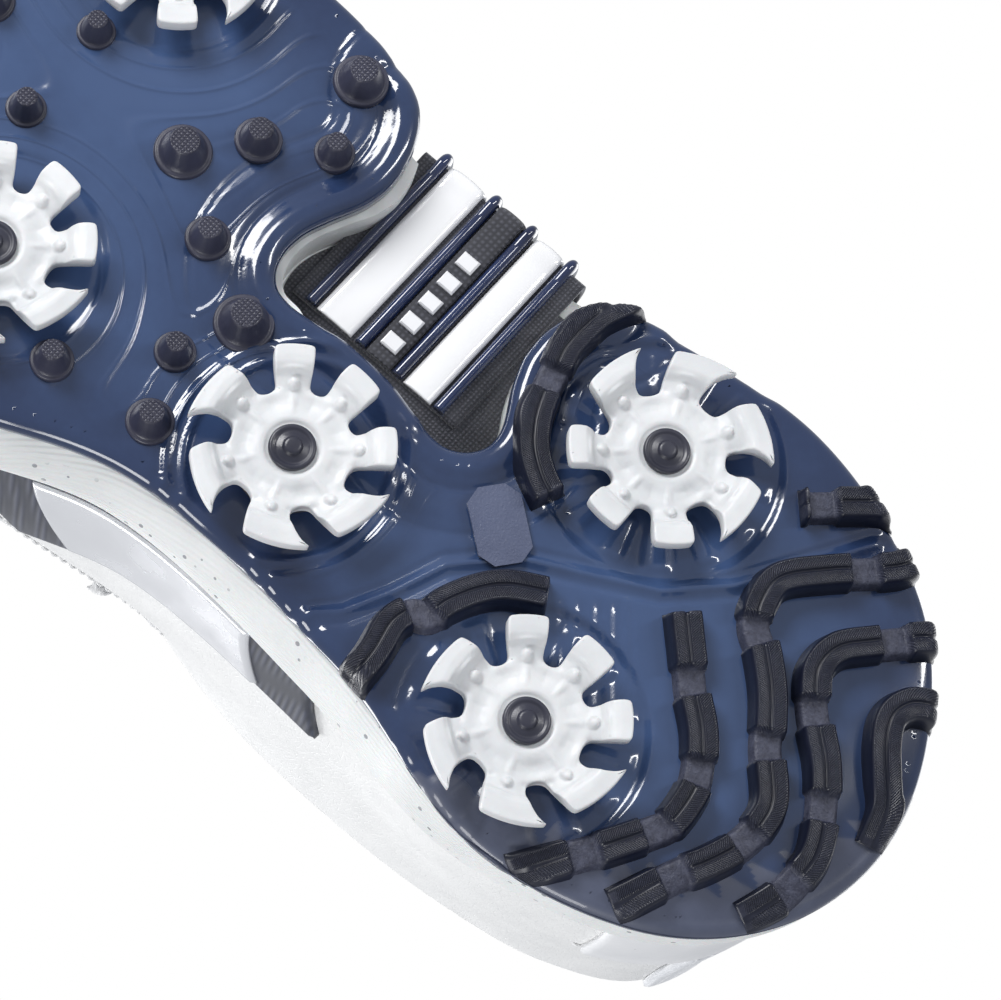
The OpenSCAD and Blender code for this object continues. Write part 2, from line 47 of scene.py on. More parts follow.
EDGE = np.array([
    [1.6, -1], [6.8, -20], [22, -34], [48, -40], [80, -33], [118, -32], [150, -45], [200, -56], [255, -49],
    [290, -25], [304, 8], [297, 31], [262, 49], [205, 51], [150, 44], [118, 34.5], [80, 37.5], [48, 41],
    [22.6, 32.8], [7.8, 17.6]
], float)
INSET = np.array([4.9, 5.9, 6, 5, 2, 1, 2, 3, 3, 3, 3, 3, 3, 3, 3, 3, 4, 5, 4.9, 4.9])
TOPLINE = np.array([
    [9, 0, 93], [14, -17, 90], [28, -27, 84], [45, -32, 79], [65, -34, 77], [90, -31, 86], [113, -22, 104],
    [140, -15, 93], [166, -12, 83], [188, -8, 75], [200, 3, 71], [188, 13, 75], [166, 18, 83], [140, 20, 93],
    [113, 25, 104], [90, 33, 86], [65, 35, 78], [45, 33, 80], [28, 28, 85], [14, 17, 90]
], float)
CLEATS = [(52, -23, 1), (62.5, 21.5, -1), (102.5, -15, 1), (154, -21, 1), (167, 33, -1), (208, -36, 1),
          (222, 24, -1)]
STUDS = [
    (144.6, 9.6, 3.95), (137.9, 18.7, 3.25), (128.6, 25.2, 2.8), (133.1, 2.1, 3.1), (120.8, -3.9, 4.1),
    (125.1, -14, 2.8), (120.7, -24.3, 3.25), (136.8, -27.3, 2.9), (165.6, -1.1, 2.75), (166.5, 15.1, 2.65),
    (133.2, 36.5, 3.8), (181, 8, 3.4), (188, -6, 3), (180, -20, 3.6), (196, 15, 2.8), (193, 27, 3.3),
    (205, 2, 3.8),
    (202, -15, 3), (186, -39, 3.2), (199, 39, 3), (222, -8, 3.2), (213, 44, 3.4), (232, -24, 3.6),
    (236, 6, 3),
    (243, 36, 3.6), (240, -41, 3.2), (251, -10, 3.8), (254, 20, 3.2), (257, -33, 3.2), (261, 2, 2.8)
]
# The recess at the arch, from the toe side round to the heel side
RECESS = np.array([
    [124.6, 40.5], [122.3, 37.8], [120.4, 34], [119.4, 30], [119.2, 26.5], [120, 22.5], [122, 18],
    [123.7, 13.5],
    [124.1, 9.5], [123.2, 6], [121, 3.6], [117.5, 3.1], [113, 3.7], [108, 4.4], [103, 4.5], [98, 4],
    [94, 2.9],
    [90.4, 1.9], [87, 1.9], [84.3, 3.4], [82.5, 6], [82.5, 9], [83.8, 12.2], [86, 16], [87.7, 20.5],
    [88, 25.5],
    [87, 30], [85, 33.8]
], float)


# ---- curves and surfaces ----
def mix(a, b, t):
    return a * (1 - t) + b * t


def smooth(a, b, x):
    t = np.clip((x - a) / (b - a), 0, 1)
    return t * t * (3 - 2 * t)


def spline(a, b, c, d, t):
    return 0.5 * (2 * b + (c - a) * t + (2 * a - 5 * b + 4 * c - d) * t * t + (3 * b - a - 3 * c + d) * t**3)


def round_list(points, u):
    u = np.asarray(u, float)
    n = len(points)
    s = (u - np.floor(u)) * n
    i = np.floor(s).astype(int)
    t = s - i
    t = t[..., None] if points.ndim > 1 else t
    return spline(points[(i - 1) % n], points[i % n], points[(i + 1) % n], points[(i + 2) % n], t)


def along(points, t):
    points = np.asarray(points, float)
    n = len(points) - 1
    s = np.asarray(t, float) * n
    i = np.clip(np.floor(s).astype(int), 0, n - 1)
    f = (s - i)[..., None]
    return spline(points[np.maximum(i - 1, 0)], points[i], points[i + 1], points[np.minimum(i + 2, n)], f)


def edge(u):
    return round_list(EDGE, u)


def edge_out(u):
    d = edge(np.asarray(u) + 0.002) - edge(np.asarray(u) - 0.002)
    n = np.stack([d[..., 1], -d[..., 0]], -1)
    return n / np.linalg.norm(n, axis=-1, keepdims=True)


def edge_in(u, d):
    return edge(u) - np.asarray(d, float)[..., None] * edge_out(u)


def reach(u):
    """How far the sole reaches past its edge where the arch recess begins."""
    return 5 * smooth(0.69, 0.73, u) * (1 - smooth(0.737, 0.745, u))


def toe_spring(x):
    return np.where(x < 215, 0, 14 * ((x - 215) / 89) ** 2)


def base_z(x):
    bevel = np.where(x > 20, 0, 3 * ((20 - x) / 20) ** 2)
    return STAND + toe_spring(x) + bevel + 1.5 * smooth(67, 87, x) * (1 - smooth(122, 144, x))


def feather_z(x):
    return 30 - 9 * smooth(60, 190, x) + 0.9 * toe_spring(x)


def upper_at(u, v):
    u, v = np.broadcast_arrays(np.asarray(u, float), np.asarray(v, float))
    p = edge_in(u, round_list(INSET, u))
    b = np.stack([p[..., 0], p[..., 1], feather_z(p[..., 0]) + 0.15], -1)
    t, n, m = round_list(TOPLINE, u), edge_out(u), u - np.floor(u)
    front = smooth(0.26, 0.4, np.minimum(m, 1 - m))
    h, lean = t[..., 2] - b[..., 2], b - t
    p1 = b + np.stack([n[..., 0] * 2, n[..., 1] * 2, mix(0.35, 0.62, front) * h], -1)
    p2 = t + np.stack([lean[..., 0] * 0.5 * front, lean[..., 1] * 0.5 * front, -mix(0.35, 0.02, front) * h],
                      -1)
    w, v = (1 - v)[..., None], v[..., None]
    return b * w**3 + 3 * p1 * w * w * v + 3 * p2 * w * v * v + t * v**3


def upper_out(u, v):
    u, v = np.broadcast_arrays(np.asarray(u, float), np.asarray(v, float))
    across = upper_at(u + 0.003, v) - upper_at(u - 0.003, v)
    rise = upper_at(u, np.minimum(1, v + 0.01)) - upper_at(u, np.maximum(0, v - 0.01))
    n = np.cross(across, rise)
    return n / np.linalg.norm(n, axis=-1, keepdims=True)


def skin_at(u, v, off):
    return upper_at(u, v) + np.asarray(off, float)[..., None] * upper_out(u, v)


# ---- mesh helpers ----
def make(name, verts, faces, mats, body="shoe", nodes=(), slot=None, index=None, uv=None, flat=False,
         attrs=None):
    """A mesh piece from points in mm, riding its CAD body and taking the place of its CAD nodes."""
    mesh = bpy.data.meshes.new(name)
    verts = (np.asarray(verts, float) - ORIGIN) / 1000
    mesh.from_pydata(verts, [], faces if isinstance(faces, list) else faces.tolist())
    for m in mats if isinstance(mats, (list, tuple)) else [mats]:
        mesh.materials.append(m)
    mesh.polygons.foreach_set("use_smooth", [not flat] * len(mesh.polygons))
    if index is not None:
        mesh.polygons.foreach_set("material_index", np.asarray(index, np.int32))
    if uv is not None:
        loops = np.zeros(len(mesh.loops), np.int32)
        mesh.loops.foreach_get("vertex_index", loops)
        mesh.uv_layers.new(name="UVMap").data.foreach_set("uv", np.asarray(uv, np.float32)[loops].ravel())
    for key, values in (attrs or {}).items():
        mesh.attributes.new(key, "FLOAT", "POINT").data.foreach_set("value", np.asarray(values, np.float32))
    mesh.validate()
    mesh.update()
    obj = bpy.data.objects.new(name, mesh)
    bpy.context.scene.collection.objects.link(obj)
    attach(obj, body)
    if nodes:
        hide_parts(*nodes)
    return obj


def grid_faces(rows, cols, start=0, closed=False, flip=False):
    i, j = np.meshgrid(np.arange(rows - 1), np.arange(cols if closed else cols - 1), indexing="ij")
    a = start + i * cols + j
    b = start + i * cols + (j + 1) % cols
    q = np.stack([a, b, b + cols, a + cols], -1).reshape(-1, 4)
    return q[:, ::-1] if flip else q


def shell(outer, inner):
    """A closed skin between two grids of points, rows upwards and columns to the left of the outward face."""
    m, n = outer.shape[:2]
    q = m * n
    verts = np.concatenate([outer.reshape(-1, 3), inner.reshape(-1, 3)])
    faces = [grid_faces(m, n), grid_faces(m, n, q, flip=True)]
    j, i = np.arange(n - 1), np.arange(m - 1)
    top = (m - 1) * n
    faces.append(np.stack([j + 1, j, j + q, j + 1 + q], -1))
    faces.append(np.stack([top + j, top + j + 1, top + j + 1 + q, top + j + q], -1))
    faces.append(np.stack([i * n, (i + 1) * n, (i + 1) * n + q, i * n + q], -1))
    faces.append(np.stack([(i + 1) * n + n - 1, i * n + n - 1, i * n + n - 1 + q, (i + 1) * n + n - 1 + q],
                          -1))
    return verts, np.concatenate(faces)


def lathe(profile, sides):
    """Points and faces of a (radius, height) profile turned round z; its first and last points are on z."""
    a = np.arange(sides) * 2 * np.pi / sides
    r, z = np.array(profile, float).T
    ring = np.stack([r[1:-1, None] * np.cos(a), r[1:-1, None] * np.sin(a),
                     np.repeat(z[1:-1, None], sides, 1)], -1)
    verts = np.concatenate([[[0, 0, z[0]]], ring.reshape(-1, 3), [[0, 0, z[-1]]]])
    k = np.arange(sides)
    n = len(profile) - 2
    last = 1 + (n - 1) * sides
    faces = grid_faces(n, sides, 1, True).tolist()
    faces += np.stack([np.zeros(sides, int), 1 + (k + 1) % sides, 1 + k], -1).tolist()
    faces += np.stack([np.full(sides, len(verts) - 1), last + k, last + (k + 1) % sides], -1).tolist()
    return verts, faces


def sweep(path, section, closed=False, up=(0, 0, 1)):
    """A tube of the given section, a list of (side, up) points or one such list per path point."""
    path = np.asarray(path, float)
    d = np.gradient(path, axis=0)
    if closed:
        d = np.roll(path, -1, 0) - np.roll(path, 1, 0)
    d /= np.linalg.norm(d, axis=1, keepdims=True)
    up = np.broadcast_to(np.asarray(up, float), path.shape)
    e = np.cross(d, up)
    e /= np.linalg.norm(e, axis=1, keepdims=True)
    f = np.cross(e, d)
    s = np.asarray(section, float)
    s = np.broadcast_to(s, (len(path),) + s.shape[-2:])
    verts = path[:, None] + s[..., :1] * e[:, None] + s[..., 1:] * f[:, None]
    n = s.shape[1]
    faces = grid_faces(len(path), n, 0, True).tolist()
    if closed:
        k = np.arange(n)
        b = (len(path) - 1) * n
        faces += np.stack([b + k, b + (k + 1) % n, (k + 1) % n, k], -1).tolist()
    else:
        faces.append(list(range(n))[::-1])
        faces.append([(len(path) - 1) * n + k for k in range(n)])
    return verts.reshape(-1, 3), faces


def join(parts):
    verts, faces, at = [], [], 0
    for v, f in parts:
        verts.append(np.asarray(v, float).reshape(-1, 3))
        faces += [[i + at for i in q] for q in (f.tolist() if hasattr(f, "tolist") else f)]
        at += len(verts[-1])
    return np.concatenate(verts), faces


def oval(a, b, n=12):
    t = np.arange(n) * 2 * np.pi / n
    return np.stack([a * np.cos(t), b * np.sin(t)], -1)


# ---- outlines ----
def resample(loop, step):
    closed = np.vstack([loop, loop[:1]])
    s = np.concatenate([[0], np.cumsum(np.linalg.norm(np.diff(closed, axis=0), axis=1))])
    n = int(round(s[-1] / step))
    t = np.arange(n) * s[-1] / n
    return np.stack([np.interp(t, s, closed[:, 0]), np.interp(t, s, closed[:, 1])], -1)


def soften(loop, sigma):
    k = np.arange(-3 * sigma, 3 * sigma + 1)
    w = np.exp(-0.5 * (k / sigma) ** 2)
    w /= w.sum()
    return sum(wi * np.roll(loop, -ki, 0) for wi, ki in zip(w, k))


def outline(recess, step=1.0):
    u = np.linspace(-0.2, 0.733, 500)
    return soften(resample(np.vstack([edge_in(u, -reach(u)), recess]), step), int(1.8 / step))


def loop_normals(loop):
    d = np.roll(loop, -1, 0) - np.roll(loop, 1, 0)
    n = np.stack([d[:, 1], -d[:, 0]], -1)
    return n / np.linalg.norm(n, axis=1, keepdims=True)


def nearest(points, p):
    """Index of the nearest of the points to each p, with both in the plane."""
    tree = KDTree(len(points))
    for i, (x, y) in enumerate(points):
        tree.insert((x, y, 0), i)
    tree.balance()
    return np.array([tree.find((x, y, 0))[1] for x, y in p.tolist()])


def depth_in(loop, p):
    """Distance of each point inside the loop, negative outside, and the direction inwards."""
    k = nearest(loop, p)
    n = len(loop)
    best, inward = np.full(len(p), 1e9), np.zeros((len(p), 2))
    for i in (k - 2, k - 1, k, k + 1):
        a, b = loop[i % n], loop[(i + 1) % n]
        ab, ap = b - a, p - a
        t = np.clip((ap * ab).sum(1) / (ab * ab).sum(1), 0, 1)
        r = ap - t[:, None] * ab
        d = np.linalg.norm(r, axis=1)
        sign = np.where(ab[:, 0] * ap[:, 1] - ab[:, 1] * ap[:, 0] < 0, -1.0, 1.0)
        near = d < np.abs(best)
        best = np.where(near, sign * d, best)
        inward = np.where(near[:, None], sign[:, None] * r / np.maximum(d, 1e-9)[:, None], inward)
    return best, inward


def largest_patch(cell):
    """The largest set of cells that join along their sides."""
    left = set(zip(*(k.tolist() for k in np.nonzero(cell))))
    best = []
    while left and len(left) > len(best):
        seed = left.pop()
        patch, todo = [seed], [seed]
        while todo:
            i, j = todo.pop()
            for q in ((i + 1, j), (i - 1, j), (i, j + 1), (i, j - 1)):
                if q in left:
                    left.remove(q)
                    patch.append(q)
                    todo.append(q)
        best = max(best, patch, key=len)
    out = np.zeros_like(cell)
    i, j = np.array(best).T
    out[i, j] = True
    return out


def inner_grid(loop, pitch):
    """A square grid that fills the loop: its points, its quads and the ids round its border."""
    lo, hi = loop.min(0) - 2 * pitch, loop.max(0) + 2 * pitch
    nx, ny = (np.ceil((hi - lo) / pitch).astype(int) + 1).tolist()
    gx, gy = np.meshgrid(lo[0] + pitch * np.arange(nx), lo[1] + pitch * np.arange(ny), indexing="ij")
    p = np.stack([gx.ravel(), gy.ravel()], -1)
    ok = depth_in(loop, p)[0].reshape(nx, ny) > 0.15 * pitch
    cell = largest_patch(ok[:-1, :-1] & ok[1:, :-1] & ok[1:, 1:] & ok[:-1, 1:])
    while True:
        c, e, f, g = cell[:-1, :-1], cell[1:, :-1], cell[1:, 1:], cell[:-1, 1:]
        rising, falling = c & f & ~e & ~g, e & g & ~c & ~f
        if not (rising.any() or falling.any()):
            break
        c &= ~rising
        e &= ~falling
        cell = largest_patch(cell)
    i, j = np.nonzero(cell)
    a = i * ny + j
    quads = np.stack([a, a + ny, a + ny + 1, a + 1], -1)
    used, inverse = np.unique(quads, return_inverse=True)
    quads = inverse.reshape(quads.shape)
    p = p[used]
    e = quads[:, [0, 1, 1, 2, 2, 3, 3, 0]].reshape(-1, 2)
    key = e[:, 0].astype(np.int64) * len(p) + e[:, 1]
    back = e[:, 1].astype(np.int64) * len(p) + e[:, 0]
    follow = dict(e[~np.isin(key, back)].tolist())
    longest = []
    while follow:
        start, at = follow.popitem()
        ring = [start]
        while at != start and at in follow:
            ring.append(at)
            at = follow.pop(at)
        longest = max(longest, ring, key=len)
    return p, quads, np.array(longest)


def zip_rings(outer, inner, outer_ids, inner_ids):
    """Triangles between two rings of points that run the same way round, matched by the nearest places."""
    n, m = len(outer), len(inner)
    near = nearest(outer, inner)
    shift = near.argmin()
    near, inner_ids = np.roll(near, -shift), np.roll(inner_ids, -shift)
    steps = (np.diff(np.append(near, near[0])) + n // 2) % n - n // 2
    place = near[0] + np.concatenate([[0], np.cumsum(steps)])
    place = np.minimum(np.maximum.accumulate(place), near[0] + n)
    place[-1] = near[0] + n
    faces, i, j = [], 0, 0
    while i < n or j < m:
        a, b = int(outer_ids[i % n]), int(inner_ids[j % m])
        if j == m or (i < n and i + 0.5 <= 0.5 * (place[j] + place[j + 1])):
            faces.append([a, int(outer_ids[(i + 1) % n]), b])
            i += 1
        else:
            faces.append([a, int(inner_ids[(j + 1) % m]), b])
            j += 1
    return faces


def slab(loop, pitch, profile, low, high, step, high_pitch):
    """A closed body over an outline: a wall of rows from the low face up, then grids for both faces.

    profile rows are (inset, lift): lift(q, ring) gives the heights of the row points q."""
    ring = resample(loop, step)
    out = loop_normals(ring)
    n = len(ring)
    rows = []
    for inset, lift in profile:
        q = ring - inset * out
        rows.append(np.column_stack([q, lift(q, ring)]))
    verts = [np.concatenate(rows)]
    faces = grid_faces(len(rows), n, 0, True).tolist()
    at = len(rows) * n
    for row, z_of, size, flip in ((0, low, pitch, True), (len(rows) - 1, high, high_pitch, False)):
        inside = ring - (profile[row][0] + 0.3 * size) * out
        p, quads, border = inner_grid(inside, size)
        ids = border + at
        tris = zip_rings(rows[row][:, :2], p[border], np.arange(n) + row * n, ids)
        if flip:
            tris = [t[::-1] for t in tris]
            quads = quads[:, ::-1]
        verts.append(np.column_stack([p, z_of(p)]))
        faces += (quads + at).tolist() + tris
        at += len(p)
    return np.concatenate(verts), faces


# ---- materials ----
def rgb(r, g, b):
    return tuple((c / 255 / 12.92 if c <= 10 else ((c / 255 + 0.055) / 1.055) ** 2.4) for c in (r, g,
        b)) + (1.0,)


class Mat:
    """A small builder for node materials round one Principled shader."""

    def __init__(self, name, rough=0.5, **sockets):
        self.mat = bpy.data.materials.new(name)
        self.mat.use_nodes = True
        self.nodes = self.mat.node_tree.nodes
        self.links = self.mat.node_tree.links
        self.bsdf = self.nodes["Principled BSDF"]
        self.bsdf.inputs["Roughness"].default_value = rough
        for key, value in sockets.items():
            self.bsdf.inputs[key.replace("_", " ")].default_value = value
        self.coord = self.nodes.new("ShaderNodeTexCoord")
        self.normal = None

    def node(self, kind, inputs=None, **props):
        n = self.nodes.new("ShaderNode" + kind)
        for key, value in props.items():
            setattr(n, key, value)
        for key, value in (inputs or {}).items():
            if isinstance(value, bpy.types.NodeSocket):
                self.links.new(value, n.inputs[key])
            else:
                n.inputs[key].default_value = value
        return n

    def place(self, scale=(1, 1, 1), turn=(0, 0, 0), source="Object"):
        return self.node("Mapping",
                         {0: self.coord.outputs[source], "Rotation": turn, "Scale": scale}).outputs[0]

    def noise(self, scale, detail=3, rough=0.5, vector=None):
        inputs = {"Scale": scale, "Detail": detail, "Roughness": rough,
                  "Vector": vector or self.coord.outputs["Object"]}
        return self.node("TexNoise", inputs).outputs["Fac"]

    def math(self, op, a, b=0.0, clamp=False):
        return self.node("Math", {0: a, 1: b}, operation=op, use_clamp=clamp).outputs[0]

    def span(self, value, from_min, from_max, to_min=0.0, to_max=1.0):
        inputs = {"Value": value, "From Min": from_min, "From Max": from_max, "To Min": to_min,
                  "To Max": to_max}
        return self.node("MapRange", inputs).outputs[0]

    def attr(self, name):
        return self.node("Attribute", attribute_name=name).outputs["Fac"]

    def colour(self, factor, *stops):
        ramp = self.node("ValToRGB", {"Fac": factor})
        bar = ramp.color_ramp
        while len(bar.elements) < len(stops):
            bar.elements.new(0.5)
        for e, (pos, c) in zip(bar.elements, stops):
            e.position, e.color = pos, c
        return ramp.outputs[0]

    def base(self, socket):
        self.links.new(socket, self.bsdf.inputs["Base Color"])
        return self

    def rough(self, socket):
        self.links.new(socket, self.bsdf.inputs["Roughness"])
        return self

    def bump(self, height, distance, strength=1.0):
        inputs = {"Height": height, "Distance": distance, "Strength": strength}
        if self.normal is not None:
            inputs["Normal"] = self.normal
        self.normal = self.node("Bump", inputs).outputs[0]
        self.links.new(self.normal, self.bsdf.inputs["Normal"])
        return self


def plastic(name, dark, light, rough, rough_span=0.08, grain=900, depth=0.00003, blotch=60, **sockets):
    """Moulded plastic or rubber: slow colour variation, fine grain, uneven gloss."""
    m = Mat(name, rough, **sockets)
    m.base(m.colour(m.noise(blotch, 4, 0.6), (0.3, dark), (0.7, light)))
    m.rough(m.span(m.noise(blotch * 3, 3), 0.3, 0.7, rough - rough_span, rough + rough_span))
    m.bump(m.noise(grain, 2), depth, 0.6)
    return m


def woven(name, dark, light, pitch, depth, rough=0.75, source="UV", sheen=0.25):
    """Plain weave: two crossed sets of threads, pitch in the coordinate's units."""
    m = Mat(name, rough, Sheen_Weight=sheen, Sheen_Roughness=0.5)
    k = 1 / (2 * pitch)
    x = m.node("TexWave", {"Vector": m.place((k, k, k), source=source), "Scale": 1.0 / math.pi,
                           "Distortion": 0.3},
               bands_direction="X").outputs["Fac"]
    y = m.node("TexWave", {"Vector": m.place((k, k, k), source=source), "Scale": 1.0 / math.pi,
                           "Distortion": 0.3},
               bands_direction="Y").outputs["Fac"]
    weave = m.math("MULTIPLY", x, y)
    tone = m.math("ADD", m.math("MULTIPLY", weave, 0.6), m.math("MULTIPLY", m.noise(150, 4), 0.5))
    m.base(m.colour(tone, (0.15, dark), (0.75, light)))
    m.bump(weave, depth, 0.9)
    return m.mat


def navy():
    m = Mat("plate_navy", 0.16, Coat_Weight=0.6, Coat_Roughness=0.04, Specular_IOR_Level=0.5)
    cloud = m.noise(55, 5, 0.65)
    edge_fade = m.attr("edge")
    tone = m.math("ADD", m.math("MULTIPLY", cloud, 0.55), m.math("MULTIPLY", edge_fade, 0.45))
    deep = m.colour(tone, (0.25, rgb(33, 48, 80)), (0.75, rgb(57, 77, 114)))
    satin = m.attr("satin")
    grey = m.colour(cloud, (0.3, rgb(58, 64, 84)), (0.7, rgb(78, 84, 104)))
    mixed = m.node("MixRGB", {"Fac": satin, "Color1": deep, "Color2": grey}).outputs[0]
    m.base(mixed)
    m.rough(m.math("ADD", m.span(m.noise(40, 4), 0.3, 0.7, 0.10, 0.22), m.math("MULTIPLY", satin, 0.26)))
    wave = m.math("SINE", m.math("MULTIPLY", m.attr("flow"), 2 * math.pi))
    sharp = m.math("POWER", m.math("ADD", m.math("MULTIPLY", wave, 0.5), 0.5), 14.0)
    m.bump(m.math("MULTIPLY", sharp, m.attr("flow_on")), 0.00016, 0.9)
    m.bump(m.noise(160, 2), 0.00004, 0.25)
    return m.mat


def rubber_rope():
    m = Mat("lug_rubber", 0.5, Specular_IOR_Level=0.45)
    body = m.colour(m.noise(120, 4, 0.6), (0.3, rgb(13, 16, 30)), (0.7, rgb(23, 27, 44)))
    worn = m.colour(m.noise(900, 3, 0.7), (0.3, rgb(40, 42, 58)), (0.7, rgb(70, 73, 90)))
    m.base(m.node("MixRGB", {"Fac": m.attr("grain"), "Color1": body, "Color2": worn}).outputs[0])
    m.rough(m.math("ADD", m.span(m.noise(300, 3), 0.3, 0.7, 0.3, 0.42),
                   m.math("MULTIPLY", m.attr("grain"), 0.2)))
    sep = m.node("SeparateXYZ", {0: m.coord.outputs["UV"]})
    s, t = sep.outputs[0], sep.outputs[1]
    slant = m.math("ADD", m.math("MULTIPLY", s, 9.0), m.math("MULTIPLY", m.math("ABSOLUTE", t), 7.0))
    rope = m.math("ABSOLUTE", m.math("SINE", slant))
    m.bump(m.math("MULTIPLY", rope, m.attr("rope")), 0.00022, 1.0)
    m.bump(m.math("MULTIPLY", m.noise(2600, 2), m.attr("grain")), 0.0002, 0.8)
    return m.mat


def stud_rubber():
    m = plastic("stud_rubber", rgb(38, 38, 52), rgb(56, 57, 74), 0.42, grain=1400, depth=0.00004)
    sep = m.node("SeparateXYZ", {0: m.coord.outputs["Object"]})
    k = math.pi / 0.0006
    gx = m.math("ABSOLUTE", m.math("SINE", m.math("MULTIPLY", sep.outputs[0], k)))
    gy = m.math("ABSOLUTE", m.math("SINE", m.math("MULTIPLY", sep.outputs[1], k)))
    grid = m.math("MULTIPLY", m.math("POWER", gx, 0.5), m.math("POWER", gy, 0.5))
    m.bump(m.math("MULTIPLY", grid, m.attr("tip")), 0.00018, 1.0)
    return m.mat


def foam_white():
    m = Mat("foam_white", 0.62, Subsurface_Weight=0.08, Subsurface_Scale=0.004)
    fleck = m.node("TexVoronoi", {"Vector": m.coord.outputs["Object"], "Scale": 420}).outputs["Distance"]
    dots = m.math("LESS_THAN", fleck, 0.16)
    sparse = m.math("MULTIPLY", dots, m.span(m.noise(90, 2), 0.55, 0.6))
    soft = m.colour(m.noise(70, 4), (0.3, rgb(214, 216, 215)), (0.7, rgb(231, 232, 231)))
    m.base(m.node("MixRGB", {"Fac": sparse, "Color1": soft, "Color2": rgb(150, 152, 156)}).outputs[0])
    lines = m.node("TexWave",
                   {"Vector": m.place((1, 1, 2.4), (0.35, 0.2, 0.5)), "Scale": 190, "Distortion": 5.5,
                               "Detail": 1.0, "Detail Scale": 0.35}, bands_direction="Z").outputs["Fac"]
    m.bump(lines, 0.00022, 0.5)
    m.bump(m.noise(1500, 2), 0.0001, 0.5)
    return m.mat


def leather():
    m = Mat("upper_leather", 0.45, Coat_Weight=0.12, Coat_Roughness=0.3)
    cells = m.node("TexVoronoi", {"Vector": m.coord.outputs["Object"], "Scale": 900},
                   feature="DISTANCE_TO_EDGE")
    m.base(m.colour(m.noise(45, 5), (0.3, rgb(229, 229, 228)), (0.7, rgb(236, 236, 235))))
    m.rough(m.span(m.noise(200, 4), 0.3, 0.7, 0.36, 0.56))
    m.bump(m.span(cells.outputs["Distance"], 0, 0.12), 0.0001, 0.5)
    m.bump(m.noise(160, 5), 0.0003, 0.25)
    return m.mat


# Below a metal of 1 the near-white base colour is painted reflection: the film looks white from diffuse light
# instead of mirroring its surroundings.
def mirror(name, rough, tint, metal=1.0):
    m = Mat(name, rough, Metallic=metal)
    m.base(m.colour(m.noise(35, 3), (0.3, tuple(0.86 * c for c in tint[:3]) + (1.0,)), (0.7, tint)))
    m.rough(m.span(m.noise(160, 3), 0.3, 0.7, rough * 0.7, rough * 1.3))
    m.bump(m.noise(30, 2), 0.00006, 0.1)
    m.bump(m.noise(1200, 2), 0.00001, 0.3)
    return m.mat


def brushed(name, tint, rough):
    m = Mat(name, rough, Metallic=1.0)
    streak = m.noise(140, 3, 0.6, m.place((1, 12, 12)))
    m.base(m.colour(streak, (0.3, tuple(0.75 * c for c in tint[:3]) + (1.0,)), (0.7, tint)))
    m.rough(m.span(streak, 0.3, 0.7, rough * 0.7, rough * 1.4))
    m.bump(streak, 0.00003, 0.5)
    return m.mat


M = {
    "navy": navy(),
    "rope": rubber_rope(),
    "stud": stud_rubber(),
    "patch": plastic("patch_tpu", rgb(58, 66, 92), rgb(84, 92, 118), 0.5, grain=2600, depth=0.0002).mat,
    "cleat": plastic("cleat_white", rgb(196, 198, 200), rgb(214, 215, 216), 0.46, grain=1600, depth=0.00006,
                     Subsurface_Weight=0.05, Subsurface_Scale=0.002).mat,
    "cap": plastic("cap_charcoal", rgb(34, 35, 46), rgb(52, 53, 66), 0.34, grain=1800, depth=0.00004).mat,
    "socket": plastic("socket_plastic", rgb(30, 31, 40), rgb(46, 47, 58), 0.45).mat,
    "foam": foam_white(),
    "steel": brushed("shank_steel", rgb(190, 192, 196), 0.3),
    "board": plastic("board_fibre", rgb(180, 168, 146), rgb(206, 196, 176), 0.85, grain=500,
                     depth=0.0002).mat,
    "liner": woven("liner_foam", rgb(120, 122, 128), rgb(168, 170, 176), 0.0009, 0.00015, source="Object"),
    "wrap": woven("wrap_fabric", rgb(44, 45, 52), rgb(88, 89, 98), 0.00032, 0.00008, source="Object"),
    "gloss": plastic("frame_gloss", rgb(14, 24, 54), rgb(30, 46, 86), 0.1, rough_span=0.03, depth=0.00001,
                     Coat_Weight=0.8, Coat_Roughness=0.03).mat,
    # Mirror, satin and chrome films: their near-white base colour with low metal is painted reflection.
    "mirror": mirror("mirror_film", 0.1, rgb(254, 254, 255), 0.2),
    "satin": mirror("satin_film", 0.24, rgb(240, 241, 244), 0.35),
    "strap": woven("strap_web", rgb(30, 31, 38), rgb(66, 67, 76), 0.00045, 0.0001, source="Object"),
    "chrome": mirror("mark_chrome", 0.14, rgb(250, 250, 252), 0.25),
    "leather": leather(),
    "guard": plastic("guard_leather", rgb(218, 219, 221), rgb(234, 234, 235), 0.4, grain=1300,
                     depth=0.0001).mat,
    "heel": plastic("heel_white", rgb(222, 223, 225), rgb(236, 236, 237), 0.34, grain=1500,
                    depth=0.00004).mat,
    "tab": woven("tab_fabric", rgb(206, 208, 212), rgb(236, 237, 239), 0.0006, 0.00018, source="Object"),
    "eyelet": brushed("eyelet_metal", rgb(200, 202, 206), 0.22),
    "lace": woven("lace_cotton", rgb(214, 214, 214), rgb(246, 246, 246), 0.0005, 0.0002, source="Object",
                  sheen=0.4),
    "tongue": woven("tongue_mesh", rgb(196, 197, 200), rgb(240, 240, 241), 0.0011, 0.0003, source="Object"),
    "label": plastic("label_rubber", rgb(40, 42, 56), rgb(64, 66, 84), 0.4, grain=1200, depth=0.00005).mat,
    "knit": woven("collar_knit", rgb(126, 128, 136), rgb(180, 182, 188), 0.0008, 0.00025, source="Object",
                  sheen=0.5),
    "lining": woven("lining_knit", rgb(150, 152, 158), rgb(198, 200, 204), 0.0009, 0.0002, source="Object",
                    sheen=0.4),
    "stiff": plastic("stiffener_board", rgb(200, 196, 184), rgb(222, 218, 208), 0.7).mat,
    "thread": woven("thread_white", rgb(220, 220, 220), rgb(250, 250, 250), 0.0002, 0.00005, source="Object"),
    "band": woven("band_fabric", rgb(30, 34, 46), rgb(64, 68, 84), 0.0006, 0.00015, source="Object"),
}

# ---- outsole plate ----
PLATE = outline(RECESS)


